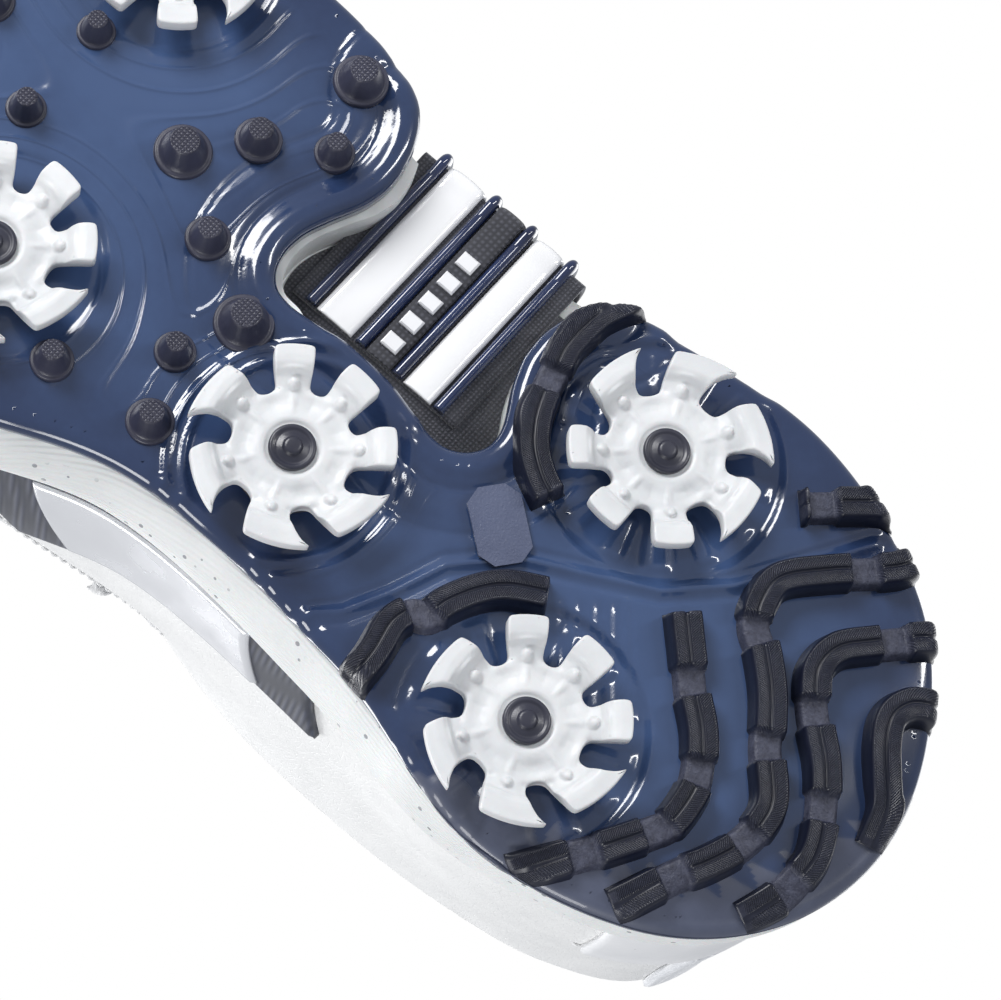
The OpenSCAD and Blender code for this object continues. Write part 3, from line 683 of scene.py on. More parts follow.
def to_line(points, p):
    """Distance from each point to an open line of points."""
    points = np.asarray(points, float)
    s = np.concatenate([[0], np.cumsum(np.linalg.norm(np.diff(points, axis=0), axis=1))])
    t = np.linspace(0, s[-1], int(s[-1] / 0.1) + 2)
    dense = np.stack([np.interp(t, s, points[:, 0]), np.interp(t, s, points[:, 1])], -1)
    return np.linalg.norm(p - dense[nearest(dense, p)], axis=1)


RECESS_RUN = PLATE[to_line(RECESS, PLATE) < 1.5]


def bell(x, width):
    return np.where(np.abs(x) < width, 0.5 + 0.5 * np.cos(np.pi * np.clip(x / width, -1, 1)), 0)


def smin(a, b, k):
    h = np.clip(0.5 + 0.5 * (b - a) / k, 0, 1)
    return mix(b, a, h) - k * h * (1 - h)


STEP_LINE = [(88, -33), (82, -27), (78.5, -20), (75.5, -12), (68, -4), (58, 1.5), (50, 6), (42.5, 14),
             (37, 23), (31, 33)]


def plate_fields(p):
    """Height of the plate's relief below its base, and the fields that its material reads."""
    x, y = p[:, 0], p[:, 1]
    d = depth_in(PLATE, p)[0]
    cut = to_line(RECESS_RUN, p)
    centre = [np.hypot(x - c[0], y - c[1]) for c in CLEATS]
    waist = smooth(80, 92, x + 0.25 * (y + 10))
    # flow lines follow the rim and the recess, and part round the cleats
    far = smin(smin(d, (centre[2] - 16) * 0.9, 7), (centre[3] - 17) * 0.8, 9)
    far = smin(far, (centre[4] - 18) * 0.7, 10)
    for k in (5, 6):
        far = smin(far, (centre[k] - 18) * 0.7, 12)
    flow = (far + 2.4 * np.sin(x * 0.045 + y * 0.03)) / 2.4
    on = waist * smooth(5.5, 8.0, d) * smooth(14.5, 17.5, np.minimum.reduce(centre[2:]))
    drop = 0.10 * on * (np.abs(((flow % 1) - 0.5)) * 2 - 0.5)
    # rolled bead along the recess, a groove behind it and a second soft band
    bead = smooth(60, 75, x)
    drop = drop + bead * (1.0 * bell(cut - 2.6, 2.7) - 0.45 * bell(cut - 6.0, 1.1) + 0.30 * bell(cut - 9.3,
        3.0)
                          - 0.3 * bell(cut - 12.8, 0.9))
    # ridges round the pad of the waist cleat
    ring = centre[2] + 0.8 * np.cos(np.arctan2(y - CLEATS[2][1], x - CLEATS[2][0]) * 2)
    drop = drop + 0.5 * bell(ring - 17.6, 1.0) + 0.45 * bell(ring - 15.2, 0.9)
    drop = drop - 0.5 * (1 - smooth(13.6, 15.2, centre[2]))
    # pockets round the two heel cleats and the step that parts them from the waist
    for k in (0, 1):
        drop = drop - 0.9 * (1 - smooth(17.4, 19.0, centre[k])) * (1 - smooth(60, 66, x) * (k == 0) * 0.7)
    for k in (3, 4, 5, 6):
        drop = drop - 0.6 * (1 - smooth(15.4, 17, centre[k]))
    step = to_line(STEP_LINE, p)
    drop = drop + 0.55 * bell(step, 0.75) - 0.35 * bell(step - 1.6, 0.9)
    # straight grooves beside the outer heel cleat
    q = (x - CLEATS[0][0]) * -0.766 + (y - CLEATS[0][1]) * 0.643
    r = (x - CLEATS[0][0]) * 0.643 + (y - CLEATS[0][1]) * 0.766
    groove = smooth(5, 6, q) * (1 - smooth(15.5, 16.5, q)) * smooth(1, 4, r) * (1 - smooth(17, 20, r))
    drop = drop - 0.28 * groove * (0.5 + 0.5 * np.cos(2 * np.pi * (q - 6) / 2.6))
    # radial ribs in the pockets under the long legs
    for k in (0, 1):
        a = np.arctan2(y - CLEATS[k][1], x - CLEATS[k][0])
        fan = smooth(9, 10.5, centre[k]) * (1 - smooth(16, 17.2, centre[k]))
        drop = drop + 0.4 * fan * smooth(-0.2, 0.8, np.cos(14 * a))
    fields = {
        "edge": smooth(0, 26, d),
        "flow": flow,
        "flow_on": on,
        "satin": np.zeros(len(p)),
    }
    return drop, d, fields


def heel_bevel_at(x, y):
    """How far the rim of the outer heel is cut back, 0 to 1."""
    return (1 - smooth(40, 58, x)) * (1 - smooth(-2, 10, y))


TAPER = 9.0


def satin_at(p, d):
    """The satin bevel at the outer heel, with a saw-toothed inner edge."""
    x, y = p[:, 0], p[:, 1]
    turn = np.arctan2(y + 2, x - 42)
    tooth = (turn * 9.5 / np.pi * 2.0) % 1
    reach = (5.0 + 4.6 * tooth) * smooth(62, 48, x) * smooth(12, -8, y)
    return smooth(0.5, -0.5, d - reach) * (reach > 0.6)


def plate_bottom(p):
    drop, d, fields = plate_fields(p)
    rise = np.where(d < TAPER, 2.2 * ((TAPER - np.maximum(d, 0)) / TAPER) ** 2, 0) * heel_bevel_at(p[:, 0],
        p[:, 1])
    return base_z(p[:, 0]) - drop * smooth(0.4, 2.2, d) + rise


def rim_row(angle):
    a = math.radians(angle)

    def lift(q, ring):
        near = ring - RIM * loop_normals(ring)
        return plate_bottom(near) + RIM * (1 - math.cos(a))

    return RIM * (1 - math.sin(a)), lift


def top_row(q, ring):
    return base_z(ring[:, 0]) + PLATE_T


rows = [rim_row(a) for a in (0, 12, 24, 36, 48, 60, 72, 84, 90)]
rows.append((0.0, lambda q, ring: base_z(ring[:, 0]) + PLATE_T - 0.3))
rows.append((0.3, top_row))
plate_v, plate_f = slab(PLATE, 0.45, rows, plate_bottom, lambda p: base_z(p[:, 0]) + PLATE_T, 0.6, 2.5)
drop, inside, fields = plate_fields(plate_v[:, :2])
fields["satin"] = satin_at(plate_v[:, :2], inside)
fields["flow_on"] = fields["flow_on"] * (plate_v[:, 2] < base_z(plate_v[:, 0]) + 1)
make("plate_moulding", plate_v, plate_f, M["navy"], nodes=["outsole_plate"], slot="plate_tpu", attrs=fields)


# ---- lugs ----
def on_plate(p, h):
    """Points at height h outside the plate's lower face, over the rim where the path leaves it."""
    d, inward = depth_in(PLATE, p)
    flat = d >= RIM
    theta = np.clip((RIM - d) / RIM, 0, 1.75)
    core = p + inward * (RIM - d)[:, None]
    bx = np.where(flat, p[:, 0], core[:, 0])
    by = np.where(flat, p[:, 1], core[:, 1])
    z0 = base_z(bx) + np.where(np.maximum(d, RIM) < TAPER,
                               2.2 * ((TAPER - np.maximum(d, RIM)) / TAPER) ** 2, 0) * heel_bevel_at(bx, by)
    h = h * mix(1.0, 0.07, smooth(0.0, 1.0, theta))
    bent = core - inward * ((RIM + h) * np.sin(theta))[:, None]
    xy = np.where(flat[:, None], p, bent)
    z = np.where(flat, z0 - h, z0 + RIM - (RIM + h) * np.cos(theta))
    return np.column_stack([xy, z])


LUG_H, BRIDGE_H = 4.2, 2.0
PROFILE = np.array([
    [-2.85, 0.0], [-2.7, 0.12], [-2.55, 0.45], [-2.42, 0.72], [-2.25, 0.88], [-2.0, 0.965], [-1.7, 0.995],
    [-1.3, 1.0],
    [-0.85, 1.0], [-0.5, 0.985], [-0.3, 0.92], [-0.12, 0.86], [0.12, 0.86], [0.3, 0.92], [0.5, 0.985],
    [0.85, 1.0],
    [1.3, 1.0], [1.7, 0.995], [2.0, 0.965], [2.25, 0.88], [2.42, 0.72], [2.55, 0.45], [2.7, 0.12], [2.85, 0.0]
])


def lug_chain(points, bridges, ends=(1, 1), height=LUG_H, step=0.3):
    """Rubber lugs joined by lower bridges; an end of 1 stops in a steep face, 0 runs over the rim."""
    fine = along(points, np.linspace(0, 1, 400))
    s = np.concatenate([[0], np.cumsum(np.linalg.norm(np.diff(fine, axis=0), axis=1))])
    n = int(s[-1] / step) + 1
    t = np.linspace(0, s[-1], n)
    path = np.stack([np.interp(t, s, fine[:, 0]), np.interp(t, s, fine[:, 1])], -1)
    d = np.gradient(path, axis=0)
    d /= np.linalg.norm(d, axis=1, keepdims=True)
    side = np.stack([-d[:, 1], d[:, 0]], -1)
    dip = np.ones(n)
    for b in bridges:
        c = t[np.linalg.norm(path - np.array(b), axis=1).argmin()]
        dip = np.minimum(dip, smooth(1.75, 2.35, np.abs(t - c)))
    full = mix(BRIDGE_H, height, dip)
    if ends[0]:
        full = full * smooth(-0.2, 0.7, t)
    if ends[1]:
        full = full * smooth(-0.2, 0.7, t[-1] - t)
    width = mix(0.86, 1.0, dip)
    rows, rope, grain, uv = [], [], [], []
    inset = depth_in(PLATE, path)[0]
    for sx, h in PROFILE:
        q = path + side * (sx * width)[:, None]
        groove = mix(1.0, h, dip) if 0 < abs(sx) < 0.6 else h
        flat_h = h if abs(sx) > 2.2 else groove
        bevel = heel_bevel_at(path[:, 0], path[:, 1])
        fade = mix(1.0, smooth(-1, 10, inset) * 0.85 + 0.08, bevel)
        rows.append(on_plate(q, full * flat_h * fade))
        inner = 0.45 < abs(sx) < 1.8
        rope.append(dip * smooth(0.6, 1.6, t) * smooth(0.6, 1.6, t[-1] - t) * (1.0 if inner else 0.0))
        grain.append(mix(1.0, 0.3 if inner else 0.0, dip))
        uv.append(np.stack([t, np.full(n, sx)], -1))
    rows.append(on_plate(path + side * (PROFILE[-1, 0] * width)[:, None], np.full(n, -0.3)))
    rows.append(on_plate(path + side * (PROFILE[0, 0] * width)[:, None], np.full(n, -0.3)))
    zero = np.zeros(n)
    rope += [zero, zero]
    grain += [zero, zero]
    uv += [uv[-1], uv[0]]
    verts = np.stack(rows, 1)
    m = verts.shape[1]
    faces = grid_faces(n, m, 0, True, flip=True).tolist()
    faces.append(list(range(m)))
    faces.append([(n - 1) * m + k for k in range(m)][::-1])
    return verts.reshape(-1, 3), faces, np.stack(rope, 1).ravel(), np.stack(grain, 1).ravel(), np.stack(uv,
        1).reshape(-1, 2)


def lug_piece(name, chains, node):
    made = [lug_chain(*c) for c in chains]
    v, f = join([(m[0], m[1]) for m in made])
    make(name, v, f, M["rope"], nodes=[node], slot="lug_rubber", uv=np.concatenate([m[4] for m in made]),
         attrs={"rope": np.concatenate([m[2] for m in made]), "grain": np.concatenate([m[3] for m in made])})


HEEL_CHAINS = [
    ([(45.6, 5.3), (39.1, -1.1), (37.1, -3.1), (32.8, -6.7), (29.7, -10.6), (28, -14.3), (27.5, -19.7),
      (28.7, -22.6),
      (31.3, -27.2), (33.4, -30.5), (37.6, -36.5), (40, -40)],
     [(38.2, -2), (29.2, -11.8), (28.3, -22), (33.9, -31.5)], (1, 0)),
    ([(25, 36.5), (26.3, 31.6), (33.5, 24.2), (38.2, 18.3), (38.1, 13.7), (36.4, 10.6), (33.1, 8.3),
      (28.9, 4.4),
      (25.8, 0.5), (23.9, -2.3), (19, -7.6), (17.8, -11.7), (18.3, -16.3), (20.1, -21.1), (22.3, -25.3),
      (26, -34)],
     [(30, 28), (35.8, 9.8), (24, -2.3), (17.9, -14.5), (22.3, -25.3)], (0, 0)),
    ([(14, 28.5), (17.6, 25.1), (22.3, 20), (25.5, 15.9), (25.9, 11.8), (23.8, 8.3), (20.2, 4.7), (16.8, 1.8),
      (13.9, -1.5), (11.3, -5.2), (9.2, -9.2), (8.8, -12.4), (9.2, -17.2), (11, -23)],
     [(20, 22.5), (22, 6.5), (12.5, -3.4), (8.9, -14.8)], (0, 0)),
    ([(6.5, 20), (10, 18.6), (12.6, 16.5), (13.4, 13.2), (11.6, 9.6), (8.6, 6.2), (5.5, 3.1), (3.4, -1.9)],
     [], (0, 0)),
    ([(31.5, 39), (34.6, 37), (38, 34), (42.8, 29.5)], [(40.6, 31.6)], (0, 1)),
    ([(80.4, 38.5), (82.4, 34), (83.4, 30.8), (83.6, 25.1), (82.8, 21.5), (81.3, 16.4), (79.6, 12.5),
      (77, 9), (73.4, 6.3),
      (70.5, 5)], [(82, 19.6)], (0, 1)),
    ([(74.2, -35.5), (74.5, -29.6), (75.4, -24.4), (74.3, -21.1), (72.3, -20), (71.6, -17.1), (69.5, -12.8),
      (66.6, -9.4),
      (61.4, -6.2)], [(73.2, -20.6)], (0, 1)),
]
lug_piece("heel_lugs", HEEL_CHAINS, "heel_ribs")
toe_chains = []
for k in range(3):
    places = [(272 + 9.5 * k - a * a, 9 + a * (11 - 2 * k)) for a in range(-3, 4)]
    toe_chains.append((places, [places[1], places[3], places[5]], (1, 1)))
lug_piece("toe_lugs", toe_chains, "toe_ribs")

# ---- studs ----
verts, faces, tips, at = [], [], [], 0
for sx, sy, r in STUDS:
    lo = float(min(base_z(np.array(sx - r)), base_z(np.array(sx + r))))
    sides = 64
    profile = [
        (0, 4.75), (r * 0.40, 4.75), (r * 0.50, 4.70), (r * 0.545, 4.55), (r * 0.60, 4.1), (r * 0.80, 1.7),
        (r * 0.865, 0.95),
        (r * 0.92, 0.62), (r * 0.955, 0.55), (r * 1.02, 0.62), (r * 1.07, 0.5), (r * 1.1, 0.15),
        (r * 1.1, -0.6), (0, -0.6)
    ]
    v, f = lathe(profile, sides)
    radius = np.hypot(v[:, 0], v[:, 1])
    angle = np.arctan2(v[:, 1], v[:, 0])
    flute = np.clip(1 - np.abs(v[:, 2] - 2.9) / 1.9, 0, 1) * (0.5 - 0.5 * np.cos(10 * angle)) ** 3
    scale = 1 - 0.055 * flute
    v[:, :2] *= scale[:, None]
    z = lo - v[:, 2]
    verts.append(np.column_stack([v[:, 0] + sx, v[:, 1] + sy, z]))
    tips.append((v[:, 2] > 4.6).astype(float))
    faces += [[i + at for i in q][::-1] for q in f]
    at += len(v)
make("studs_moulded", np.concatenate(verts), faces, M["stud"], nodes=["traction_studs"], slot="lug_rubber",
     attrs={"tip": np.concatenate(tips)})

# ---- cleats ----
SHORT, LONG = (140, 95, 50), (0, -56, -112, -166)


def cleat_outline():
    """Plan of a cleat: three short legs and four long curved blades round a hub."""
    legs = [(b, 14.3, 11.3, 11.3, 0.0) for b in SHORT] + [(b, 17, 28, 9.5, 0.7) for b in LONG]
    legs.sort(key=lambda g: g[0])
    points = []
    for i, (b, root, lead, trail, reach) in enumerate(legs):
        def at(r, a, b=b):
            return (r * math.cos(math.radians(b + a)), r * math.sin(math.radians(b + a)))
        points += [at(9.05, -root - 2.2), at(9.75, -root)]
        for f in (0.25, 0.5, 0.75, 0.9):
            points.append(at(mix(9.9, 14.9 + reach, f), mix(-root, -lead, f ** 2.2)))
        for f in np.linspace(0, 1, 9):
            points.append(at(14.8 + reach * (1 - f) ** 1.5, mix(-lead, trail, f)))
        for f in (0.8, 0.5, 0.2):
            points.append(at(mix(9.9, 14.8, f), mix(root, trail, f ** 1.1)))
        points += [at(9.75, root), at(9.05, root + 2.2)]
        after = legs[(i + 1) % len(legs)]
        gap = (after[0] - after[1] - b - root) % 360
        points.append(at(8.7, root + gap / 2))
    return soften(resample(np.array(points), 0.2), 2)


def leg_axis(p):
    """Radius, and the angle from the middle of the nearest leg."""
    r = np.hypot(p[:, 0], p[:, 1])
    a = np.degrees(np.arctan2(p[:, 1], p[:, 0]))
    off = np.full(len(p), 999.0)
    long_leg = np.zeros(len(p))
    for b in SHORT + LONG:
        e = (a - b + 180) % 360 - 180
        near = np.abs(e) < np.abs(off)
        off = np.where(near, e, off)
        long_leg = np.where(near, float(b in LONG), long_leg)
    return r, off, long_leg


def cleat_low(p):
    r, off, long_leg = leg_axis(p)
    z = np.interp(r, [0, 3.85, 4.1, 4.6, 5.6, 6.4, 7.4, 8.4, 9.2, 10.7, 11.0, 11.4, 12.2, 13.2, 15.8],
                  [3.0, 3.0, 2.75, 2.62, 2.7, 2.85, 2.9, 2.8, 2.45, 1.75, 1.3, 0.72, 0.3, 0.08, 0.0])
    z = z - 0.85 * np.sqrt(np.clip(1 - ((r - 9.4) ** 2 + (r * np.radians(off)) ** 2) / 0.75, 0, 1))
    # petals round the hub, a channel between the legs and a rib down the middle of each
    petal = bell(r - 6.9, 2.3)
    z = z + 0.45 * petal * np.clip(np.abs(off) / 22, 0, 1) ** 1.5 - 0.28 * petal * bell(off, 7.0)
    z = z - 0.25 * bell(r - 11.35, 0.45) * bell(off, 12.0)
    side = np.clip(np.abs(off) / 15, 0, 1) ** 2
    return z + 0.8 * side * smooth(8.2, 9.6, r) * (1 - smooth(10.8, 12.6, r)) + 0.35 * long_leg * smooth(12,
        15, r)


def cleat_high(p):
    r = leg_axis(p)[0]
    return np.interp(r, [0, 5.5, 8.7, 11.5, 13.2, 15.6], [6.2, 6.15, 5.2, 3.6, 3.0, 2.4])


def cleat_row(inset, share, lip):
    def lift(q, ring):
        lo, hi = cleat_low(q), cleat_high(ring)
        return lo + share * (hi - lo) + lip
    return inset, lift


plan = cleat_outline()
rows = [cleat_row(0.3, 0, 0.0), cleat_row(0.13, 0, 0.05), cleat_row(0.03, 0, 0.15), cleat_row(0, 0.08, 0.2),
        cleat_row(0, 0.55, 0.1), cleat_row(0, 0.93, 0.0), cleat_row(0.15, 1, 0.0)]
cleat_v, cleat_f = slab(plan, 0.22, rows, cleat_low, cleat_high, 0.22, 0.6)
cap_profile = [(0, 1.55), (0.9, 1.55), (1.25, 1.62), (1.45, 1.8), (1.55, 2.12), (1.7, 2.22), (2.3, 2.24),
               (2.45, 2.36),
               (2.85, 2.36), (3.0, 2.2), (3.3, 2.14), (3.62, 2.22), (3.75, 2.45), (3.75, 3.1), (0, 3.1)]
cap_v, cap_f = lathe([(r * 0.92, z) for r, z in cap_profile], 56)
for i, (cx, cy, hand) in enumerate(CLEATS, 1):
    turn = math.radians(8 if hand < 0 else 0)
    for name, v, f, mat, slot in (("cleat", cleat_v, cleat_f, M["cleat"], "cleat_white"),
                                  ("cleat_cap", cap_v, [q[::-1] for q in cap_f], M["cap"], "cap_charcoal")):
        y = v[:, 1] * hand
        x = v[:, 0]
        placed = np.column_stack([cx + x * math.cos(turn) - y * math.sin(turn),
                                  cy + x * math.sin(turn) + y * math.cos(turn), v[:, 2]])
        quads = [q[::-1] for q in f] if hand < 0 else f
        make(f"{name}_detail_{i}", placed, quads, mat, body=f"cleat_body_{i}", nodes=[f"{name}_{i}"],
             slot=slot)

# ---- midsole ----
def swell(u):
    m = np.minimum(u, 1 - u)
    return mix(0.6, np.where(u < 0.5, 5.0, 0.4), smooth(0.12, 0.2, m) * (1 - smooth(0.3, 0.36, m)))


def wall_at(u, rise):
    p = edge_in(u, -swell(u) * np.sin(np.pi * mix(0.0, 0.8, rise)) + 0.5 * (1 - rise) - 0.7 * reach(u))
    q = edge_in(u, round_list(INSET, u) - 1)
    x = mix(p[:, 0], q[:, 0], rise * rise)
    y = mix(p[:, 1], q[:, 1], rise * rise)
    return np.column_stack([x, y, mix(base_z(x) + PLATE_T + 0.05, feather_z(x), rise)])


n = 420
u = np.arange(n) / n
levels = np.linspace(0, 1, 22)
rings = np.stack([wall_at(u, r) for r in levels])
mid_v = rings.reshape(-1, 3)
mid_f = grid_faces(len(levels), n, 0, True).tolist()
half = n // 2
for level, flip in ((0, True), (len(levels) - 1, False)):
    s = level * n
    for k in range(half):
        a, b, c, d = k, k + 1, (n - k - 1) % n, (n - k) % n
        q = [a, b, c, d]
        q = [x for j, x in enumerate(q) if x not in q[:j]]
        if len(q) < 3:
            continue
        q = [s + x for x in q]
        mid_f.append(q[::-1] if flip else q)
midsole = make("midsole_foam", mid_v, mid_f, M["foam"], nodes=["midsole"], slot="foam_white")
away = RECESS - np.array([104.0, 30.0])
# The foam stands proud of the plate on the toe side of the recess only
proud = mix(-0.8, 1.5, smooth(112, 117, RECESS[:, 0]))[:, None]
lip = RECESS - away * proud / np.linalg.norm(away, axis=1, keepdims=True)
lip = along(np.vstack([[118.0, 60], lip, [87.0, 60]]), np.linspace(0, 1, 120))
m = len(lip)
cut_v = np.vstack([np.column_stack([lip, np.full(m, 2.0)]), np.column_stack([lip, np.full(m, ARCH_TOP)])])
cut_f = [[k, k + m, (k + 1) % m + m, (k + 1) % m] for k in range(m)] + [list(range(m)),
    [k + m for k in range(m)][::-1]]
cutter_mesh = bpy.data.meshes.new("cutter")
cutter_mesh.from_pydata((cut_v - ORIGIN) / 1000, [], cut_f)
cutter = bpy.data.objects.new("cutter", cutter_mesh)
bpy.context.scene.collection.objects.link(cutter)


def cut_away(obj, tool):
    mod = obj.modifiers.new("cut", "BOOLEAN")
    mod.object, mod.operation, mod.solver = tool, "DIFFERENCE", "EXACT"
    dg = bpy.context.evaluated_depsgraph_get()
    mesh = bpy.data.meshes.new_from_object(obj.evaluated_get(dg))
    obj.modifiers.clear()
    obj.data = mesh


cut_away(midsole, cutter)
bpy.data.objects.remove(cutter)
midsole.data.polygons.foreach_set("use_smooth", [True] * len(midsole.data.polygons))
midsole.data.set_sharp_from_angle(angle=math.radians(38))

# ---- saddle under the arch ----
WRAP_Z = float(base_z(np.array(104.0))) + 8


def wrap_rows(a, off):
    """Points of the band at its 15 stations: a runs from heel side to toe side, off outwards from its inner face."""
    x, u = mix(89, 120.5, a), mix(0.7865, 0.745, a)
    rows = [(x, 8 + 9 * k, WRAP_Z + 1.2 - off) for k in range(4)]
    rows += [(x, 37.6 + off * 0.9, WRAP_Z + 1.2 - off * 0.9 + 0.3), (x, 37.9 + off, WRAP_Z + 6.5)]
    for k in range(9):
        rows.append(tuple(skin_at(u - 0.05 * k / 8, 0.02 + 0.72 * k / 8, 0.7 + off)))
    return np.array(rows, float)


def band(a0, a1, off_in, off_out, last=14, first=0, cols=8, crown=0.0, rows=90):
    t = np.linspace(first / 14, last / 14, rows)
    c = np.linspace(0, 1, cols + 1)
    bulge = crown * np.sqrt(np.clip(1 - (2 * c - 1) ** 2, 0, 1))
    outer = np.stack([along(wrap_rows(mix(a1, a0, s), off_out + b), t) for s, b in zip(c, bulge)], 1)
    inner = np.stack([along(wrap_rows(mix(a1, a0, s), off_in), t) for s in c], 1)
    return shell(outer, inner)


# The cloth that backs the band covers the whole ceiling of the recess
ceiling = np.column_stack([lip[:, 0], np.minimum(lip[:, 1], 33)])
ceiling = ceiling[np.concatenate([[True], np.linalg.norm(np.diff(ceiling, axis=0), axis=1) > 0.05])]
ceiling = ceiling + (np.array([104.0, 20.0]) - ceiling) * 0.02
m = len(ceiling)
ceiling_v = np.vstack([np.column_stack([ceiling, np.full(m, z)]) for z in (ARCH_TOP - 0.35, ARCH_TOP - 0.05)])
ceiling_f = grid_faces(2, m, 0, True).tolist() + [list(range(m))[::-1], list(range(m, 2 * m))]
make("wrap_cloth", *join([band(0, 1, 0, 1.2, 10), (ceiling_v, ceiling_f)]), M["wrap"], nodes=["saddle_wrap"],
     slot="wrap_fabric")
# The trim stays under the arch: only the plain cloth climbs the side
TRIM_END = 4.6
frames = [band(a, a + 0.06, 1.3, 1.75, TRIM_END, crown=1.15, cols=12) for a in (0.08, 0.335, 0.56, 0.87)]
make("wrap_frame", *join(frames), M["gloss"], nodes=["saddle_frame"], slot="frame_gloss")
make("window_front", *band(0.645, 0.855, 1.3, 1.7, TRIM_END, crown=0.4), M["mirror"],
     nodes=["mirror_inlay_front"], slot="mirror_film")
make("window_rear", *band(0.155, 0.32, 1.3, 1.7, TRIM_END, crown=0.4), M["mirror"],
     nodes=["mirror_inlay_rear"], slot="mirror_film")
make("strap_cloth", *band(0.405, 0.55, 1.3, 2.05, TRIM_END, crown=0.25), M["strap"],
     nodes=["arch_strap"], slot="strap_web")
marks = []
for k in range(5):
    y, x = 10 + 4.3 * k, mix(89, 120.5, 0.478)
    w, h, z = 1.5, 1.25, WRAP_Z - 1.2
    ring = np.array([[-w, -h], [w, -h], [w, h], [-w, h]])
    low = np.column_stack([ring * 0.8 + [x, y + 1.3], np.full(4, z - 0.55)])
    mid = np.column_stack([ring + [x, y + 1.3], np.full(4, z - 0.3)])
    top = np.column_stack([ring + [x, y + 1.3], np.full(4, z + 0.1)])
    marks.append((np.vstack([low, mid, top]),
                  grid_faces(3, 4, 0, True).tolist() + [[3, 2, 1, 0], [8, 9, 10, 11]]))
make("strap_bars", *join(marks), M["chrome"], nodes=["strap_marks"], slot="mark_chrome", flat=True)

# ---- upper ----
def patch(u0, u1, v0, v1, off_in, off_out, cols, rows, roll=0.5):
    """A sheet of the upper with edges that roll inwards."""
    u = np.linspace(u0, u1, cols + 1)[None, :]
    v = np.linspace(v0, v1, rows + 1)[:, None]
    span_u = abs(u1 - u0) * 850
    span_v = abs(v1 - v0) * 65
    du = np.minimum(u - u0, u1 - u) / abs(u1 - u0) * span_u
    dv = np.minimum(v - v0, v1 - v) / abs(v1 - v0) * span_v
    near = np.clip(np.minimum(np.abs(du), np.abs(dv)) / max(roll, 1e-6), 0, 1)
    off = off_out - roll * (1 - np.sqrt(1 - (1 - near) ** 2)) * 0.8
    U, V = np.broadcast_arrays(u, v)
    return shell(skin_at(U, V, off), skin_at(U, V, np.full(U.shape, off_in)))


def skin_line(points, off, count):
    uv = along(points, np.linspace(0, 1, count))
    return skin_at(uv[:, 0], uv[:, 1], np.full(count, off)), upper_out(uv[:, 0], uv[:, 1])


def stitches(points, off, pitch=2.6, r=0.28):
    """Short thread runs laid along a line on the upper."""
    dense, normal = skin_line(points, off, 600)
    s = np.concatenate([[0], np.cumsum(np.linalg.norm(np.diff(dense, axis=0), axis=1))])
    parts = []
    for c in np.arange(pitch, s[-1] - pitch, pitch):
        t = np.linspace(c - 0.36 * pitch, c + 0.36 * pitch, 5)
        path = np.stack([np.interp(t, s, dense[:, k]) for k in range(3)], -1)
        up = np.stack([np.interp(t, s, normal[:, k]) for k in range(3)], -1)
        lift = np.array([-0.25, 0.05, 0.15, 0.05, -0.25])[:, None]
        parts.append(sweep(path + up * lift, oval(r, r * 0.8, 6), up=up))
    return parts


make("quarter_outer_side", *patch(0.001, 0.3, 0, 1, -1.6, 0, 150, 60), M["leather"],
     nodes=["quarter_lateral"], slot="upper_leather")
make("quarter_inner_side", *patch(0.7, 0.999, 0, 1, -1.6, 0, 150, 60), M["leather"],
     nodes=["quarter_medial"], slot="upper_leather")
make("vamp_leather", *patch(0.3005, 0.6995, 0, 0.8495, -1.6, 0, 200, 60), M["leather"], nodes=["vamp"],
     slot="upper_leather")
make("toe_wrap", *patch(0.4, 0.6, 0.01, 0.24, 0.1, 1.4, 120, 24), M["guard"], nodes=["toe_guard"],
     slot="guard_leather")
make("heel_wrap", *patch(-0.1, 0.1, 0.01, 0.42, 0.1, 1.5, 120, 40), M["heel"], nodes=["heel_cap"],
     slot="heel_white")
make("heel_pull", *patch(-0.05, 0.05, 0.47, 0.985, 0.1, 1.5, 60, 50), M["tab"], nodes=["heel_tab"],
     slot="tab_fabric")
make("throat_bar", *patch(0.4755, 0.5245, 0.8505, 1, -1.6, 0.8, 40, 20), M["guard"], nodes=["throat_stay"],
     slot="guard_leather")
make("side_band", *patch(0.2, 0.2875, 0.02, 0.34, 0.05, 1.5, 70, 40), M["band"], nodes=["saddle_outer"],
     slot="wrap_fabric")
make("side_window", *patch(0.2165, 0.271, 0.035, 0.31, 1.3, 2.4, 60, 40, roll=0.7), M["satin"],
     nodes=["mirror_inlay_outer"],
     slot="satin_film")
seams = stitches([(0.2945, 0.03), (0.2945, 0.5), (0.2945, 0.97)], 0.15)
seams += stitches([(0.7055, 0.03), (0.7055, 0.5), (0.7055, 0.97)], 0.15)
seams += stitches([(0.4, 0.26), (0.5, 0.26), (0.6, 0.26)], 0.15)
seams += stitches([(-0.11, 0.44), (0.0, 0.44), (0.11, 0.44)], 0.15)
seams += stitches([(0.31, 0.83), (0.39, 0.83), (0.5, 0.83), (0.61, 0.83), (0.69, 0.83)], 0.15)
make("upper_stitching", *join(seams), M["thread"], slot="upper_leather")

EYE_V = 0.925


def eye_u(k):
    return 0.318 + 0.0285 * k


def eye_axes(u):
    """Centre of an eyelet and its three axes, the last along the outward normal."""
    z = upper_out(u, EYE_V)
    x = np.cross([0, 0, 1.0], z)
    x /= np.linalg.norm(x)
    return upper_at(u, EYE_V), x, np.cross(z, x), z


